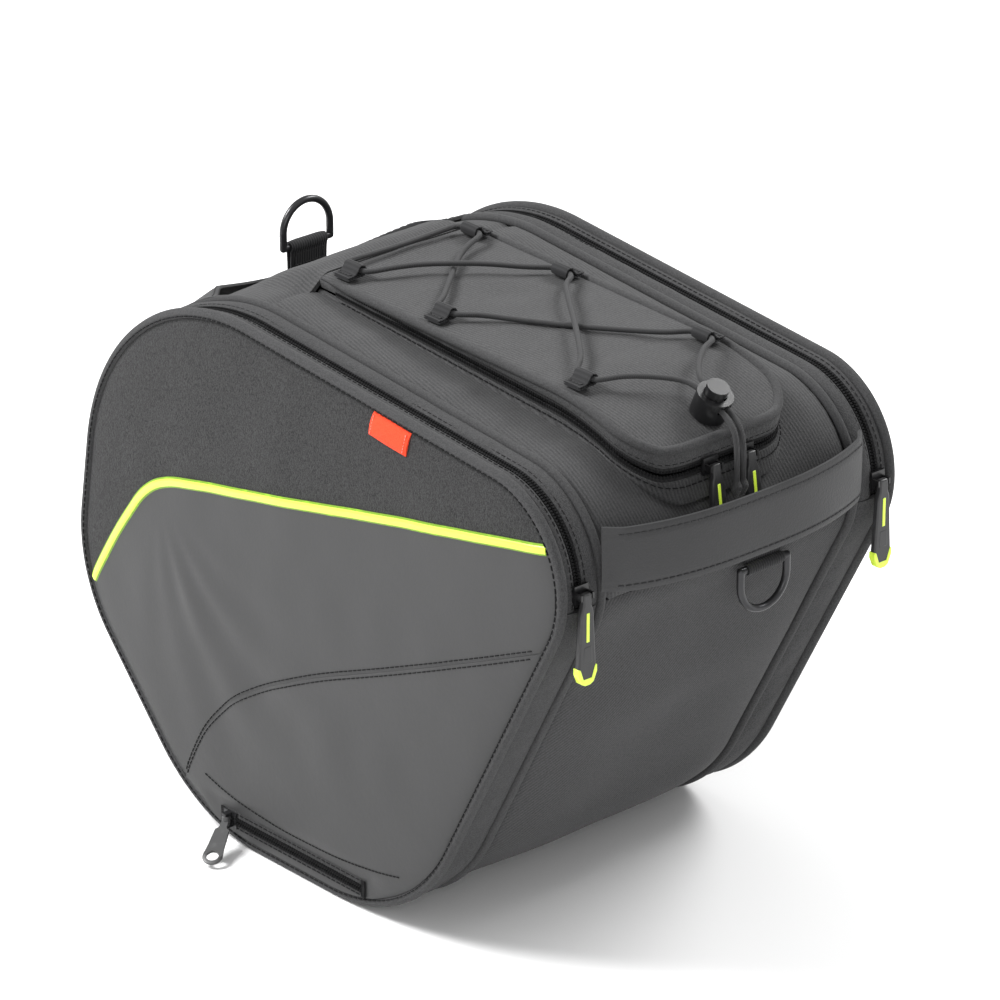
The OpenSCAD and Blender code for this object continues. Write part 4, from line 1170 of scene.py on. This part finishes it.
def make_puller(word, pivot, down, length, body, node):
    """A rubber puller with a narrow eye and a slight waist, a bright line and a bright tip, the line and tip
    with a painted glow.
    """
    half, neck, tip = 5.9, 2.7, 6.0
    rubber = mirrored([
        (neck, -1.6), (neck, 4.6), (half * 0.62, 7.0), (half * 0.70, 10.0), (half * 0.80, length * 0.45),
        (half * 0.96, length - tip - 4), (half * 0.98, length - tip), (half * 0.62, length - 1.2),
        (half * 0.25, length),
    ])
    bright = mirrored([
        (half + 0.1, length - 9.5), (half + 0.15, length - 6), (half * 0.66, length - 1.0),
        (half * 0.27, length + 0.25),
    ])
    bright += [(-half + 1.1, length - 9.2), (-half * 0.46, length - 3.2), (half * 0.46, length - 3.2),
               (half - 1.1, length - 9.2)]
    line = [(-0.95, 8.5), (0.95, 8.5), (0.95, 24.0), (-0.95, 24.0)]
    panel = mirrored([(half * 0.5, 26), (half * 0.58, length - 11)])
    piece(plate(word + "_puller_body", rubber, 3.6, pivot, down, RUBBER, 0.9, 3), body, "puller", node)
    piece(plate(word + "_puller_tip", bright, 4.3, pivot, down, GLOWING_NEON, 0.35), body, "puller")
    piece(plate(word + "_puller_line_0", line, 4.1, pivot, down, GLOWING_NEON, 0.3), body, "puller")
    piece(plate(word + "_puller_panel", panel, 3.9, pivot, down, RUBBER, 0.8), body, "puller")


def make_pullers():
    tilt = math.radians(8)
    for s, word in SIDES:
        make_puller(f"{word}_pocket", (192.465, s * ZIP_Y, 229.007), (0, 0, -1), 46.8,
                    f"{word}_zip_puller", f"{word}_pocket_puller")
        make_puller(f"{word}_lid", (188.25, s * 12.0, 269.3), (math.sin(tilt), 0, -math.cos(tilt)), 39.8,
                    f"{word}_lid_zip_puller", f"{word}_lid_puller")


def make_bottom_zip():
    x = np.linspace(BOTTOM_ZIP_X0, BOTTOM_ZIP_X1, 60)[:, None]
    ends = (BOTTOM_ZIP_X0 + 2, BOTTOM_ZIP_X1 - 2)
    for part, sign in (("upper", 1), ("lower", -1)):
        z = BOTTOM_ZIP_Z + sign * np.array([ZIP_GAP / 2, 2.2, 4.9])
        outer = xyz(x, -(FACE_Y + 0.75), z[None])
        tape = shell(f"bottom_tape_{part}", outer, outer + np.array([0, 2.2, 0]), GUSSET)
        piece(tape, "bag", "zip_tape", *(["bottom_zip"] if sign > 0 else []))
        path = [(a, -(FACE_Y + 0.9), BOTTOM_ZIP_Z + sign * ZIP_GAP / 2) for a in ends]
        coil(f"bottom_teeth_{part}", path, (0, -1, 0), (0, 0, sign), "bag")
        path = [(a, -(FACE_Y + 0.7), BOTTOM_ZIP_Z + sign * 4.2) for a in ends]
        sew(f"bottom_zip_thread_{part}", path, (0, -1, 0), "bag", "zip_tape", width=FINE)


PULL_TURN, PULL_TILT = math.radians(-57), math.radians(22)
PULL_EYE_R, PULL_EYE_HOLE, PULL_EYE_H = 2.2, 1.3, 5.6


def make_bottom_pull():
    """The flat painted pull of the bottom zip: a wide round end with a large hole, and a tube as its eye."""
    pivot = np.array([-65.0, -119.5, BOTTOM_ZIP_Z])
    level = math.cos(PULL_TILT)
    down = np.array([level * math.cos(PULL_TURN), level * math.sin(PULL_TURN), -math.sin(PULL_TILT)])
    across = np.array([-math.sin(PULL_TURN), math.cos(PULL_TURN), 0])
    out = np.cross(across, down)
    hole_at, hole_r, end_r = np.array([0, 25.5]), 3.4, 5.4
    turn = np.radians(np.linspace(-20, 200, 34))
    round_end = [(end_r * math.cos(t), hole_at[1] + end_r * math.sin(t)) for t in turn]
    right = [(2.0, 1.6), (2.0, 5.0), (2.5, 6.4), (3.9, 7.6), (4.2, 12), (4.5, 18)]
    outline = np.array(right + round_end + [(-a, b) for a, b in right[::-1]])
    hole = hole_at + hole_r * unit(outline - hole_at)
    inset = outline * (1 - 0.35 / 12)
    layers = ((hole, -0.8), (hole, 0.8), (inset, 0.8), (outline, 0.45), (outline, -0.45), (inset, -0.8))
    rows = [pivot + flat[:, :1] * across + flat[:, 1:] * down + out * height for flat, height in layers]
    verts = np.stack(rows, 1).reshape(-1, 3)
    faces = grid_faces(len(outline), len(rows), wrap_n=True, wrap_m=True)
    end, edge = PULL_EYE_H / 2, 0.3
    profile = [(PULL_EYE_HOLE, -end), (PULL_EYE_HOLE, end), (PULL_EYE_R - edge, end),
               (PULL_EYE_R, end - edge), (PULL_EYE_R, edge - end), (PULL_EYE_R - edge, -end)]
    turn = np.linspace(0, 2 * math.pi, 25)[:-1]
    eye = np.array([[(r * math.cos(a), r * math.sin(a), h) for r, h in profile] for a in turn]) + pivot
    faces += grid_faces(len(turn), len(profile), wrap_n=True, wrap_m=True, base=len(verts))
    verts = np.concatenate([verts, eye.reshape(-1, 3)])
    piece(finish_mesh("bottom_pull_plate", verts, faces, PAINTED), "bottom_zip_pull", "metal", "bottom_pull")


def make_hem():
    """The stitched hem of the coated panel over the bottom zip, and the zip's end bars."""
    x = np.linspace(-84, 74, 80)
    z = BOTTOM_ZIP_Z + 9.5 + np.where(x > -15, 0.0012, 0.0022) * (x + 15) ** 2
    inside = face_share(x, z) < 0.955
    path = face_grid(x[inside], z[inside], 1.0)
    for s, word in SIDES:
        sew(word + "_hem_stitches", side(path, s), (0, s, 0), "bag", "coated_cloth", length=1.8, gap=0.9)
    places = []
    for x in (BOTTOM_ZIP_X0 + 0.6, BOTTOM_ZIP_X1 - 0.6):
        for k in range(9):
            centre = (x, -(FACE_Y + 0.95), BOTTOM_ZIP_Z - 4.4 + 1.1 * k)
            places.append((centre, (1.5, 0, 0), (0, 0.35, 0), (0, 0, 0.42)))
    piece(boxes("bottom_zip_bars", places, THREAD), "bag", "zip_tape")


TAG_X, TAG_Z, TAG_SLOPE = 65.0, 277.0, math.radians(-6.5)
TAG_HALF_L, TAG_HALF_W = 14.0, 6.0


def on_tag(u, v):
    """X and Z of a place on the tag, along it and across it from its middle."""
    cos, sin = math.cos(TAG_SLOPE), math.sin(TAG_SLOPE)
    return TAG_X + u * cos - v * sin, TAG_Z + u * sin + v * cos


def make_tag():
    """The small folded tag sewn under the pocket flap's top seam."""
    u = np.linspace(-TAG_HALF_L, TAG_HALF_L, 15)[:, None]
    v = np.linspace(-TAG_HALF_W, TAG_HALF_W, 9)[None]
    x, z = on_tag(u, v)
    bow = 0.5 * (1 - (v / TAG_HALF_W) ** 2) + 0.15 * np.cos(u / 5)
    edge = np.minimum(TAG_HALF_L - np.abs(u), TAG_HALF_W - np.abs(v))
    outer = face_grid(x, z, 1.5 + bow - 0.7 * np.exp(-edge / 0.5))
    piece(shell("flap_tag", outer, face_grid(x, z, 0.1), RED), "right_flap", "tag", "right_tag")
    rows = []
    for u in (-12.2, 12.2):
        ends = [face_grid(*on_tag(u, v), 1.75) for v in (-4.8, 4.8)]
        rows += stitch_line(ends, (0, -1, 0), length=1.1, gap=0.6)
    piece(boxes("flap_tag_thread", rows, TAG_THREAD), "right_flap", "tag")


def finish_frame():
    """Finishes for the CAD pieces that stay as they are."""
    for _, word in SIDES:
        keep(word + "_pocket_slider", PLASTIC)
        keep(word + "_lid_slider", PLASTIC)
        keep(word + "_divider", FOAM)
    keep("bottom_slider", BLACK_STEEL)
    keep("base_board", BOARD)
    keep("cord_lock_barrel", PLASTIC)
    keep("cord_lock_button", PLASTIC)
    keep("cord_lock_spring", NICKEL)
    keep("front_d_ring", BLACK_STEEL)
    keep("rear_d_ring", BLACK_STEEL)


# ------------------------------------------------------------------ floor, light and camera
# Places and sizes here are in metres.
FLOOR_R = 9.0
MIDDLE = (0, 0, 0.16)


def make_stage():
    turn = np.linspace(0, 2 * math.pi, 65)[:-1]
    rings = [(r * math.cos(a), r * math.sin(a), 0) for r in (1.0, FLOOR_R) for a in turn]
    n = len(turn)
    faces = [tuple(range(n))] + grid_faces(2, n, wrap_m=True)
    f = Finish("floor_paint", rough=0.6, specular=0.2)
    f.tint(f.grain(300), grey(0.90, 0), 1, 0.93 / 0.90)
    finish_mesh("studio_floor", np.array(rings) / MM, faces, f.material)


def soft_light(name, place, size, power):
    data = bpy.data.lights.new(name, "AREA")
    data.shape = "RECTANGLE"
    data.size, data.size_y = size
    data.energy = power
    lamp = bpy.data.objects.new(name, data)
    bpy.context.scene.collection.objects.link(lamp)
    lamp.location = place
    lamp.rotation_euler = (Vector(MIDDLE) - Vector(place)).to_track_quat("-Z", "Y").to_euler()


def make_lights():
    bpy.context.scene.view_settings.view_transform = "Standard"
    world = bpy.data.worlds.new("studio_air")
    bpy.context.scene.world = world
    world.use_nodes = True
    world.node_tree.nodes["Background"].inputs["Color"].default_value = (1, 1, 1, 1)
    world.node_tree.nodes["Background"].inputs["Strength"].default_value = 0.62
    soft_light("light_top_left", (-1.1, -1.2, 1.9), (0.9, 0.9), 84)
    soft_light("light_front", (1.9, -1.3, 1.0), (1.2, 1.0), 12)
    soft_light("light_back", (0.3, 1.7, 1.7), (1.4, 0.7), 46)


def make_camera():
    azimuth, elevation, distance = math.radians(48.1), math.radians(24.2), 2.952
    level = math.cos(elevation)
    back = Vector((math.sin(azimuth) * level, -math.cos(azimuth) * level, math.sin(elevation)))
    data = bpy.data.cameras.new("camera")
    data.lens = 206.0
    data.sensor_width = 36.0
    camera = bpy.data.objects.new("camera", data)
    bpy.context.scene.collection.objects.link(camera)
    camera.location = Vector((0.0175, 0.0, 0.1908)) + back * distance
    camera.rotation_euler = (-back).to_track_quat("-Z", "Y").to_euler()
    bpy.context.scene.camera = camera


make_camera()
make_faces()
make_pipings()
make_gussets()
make_body()
make_rim()
make_rear_top()
make_lid_top()
make_lid_wall()
make_lid_zip()
make_cord()
make_loops()
make_straps()
make_ring_webbing()
make_pullers()
make_bottom_zip()
make_bottom_pull()
make_hem()
make_tag()
finish_frame()
make_stage()
make_lights()
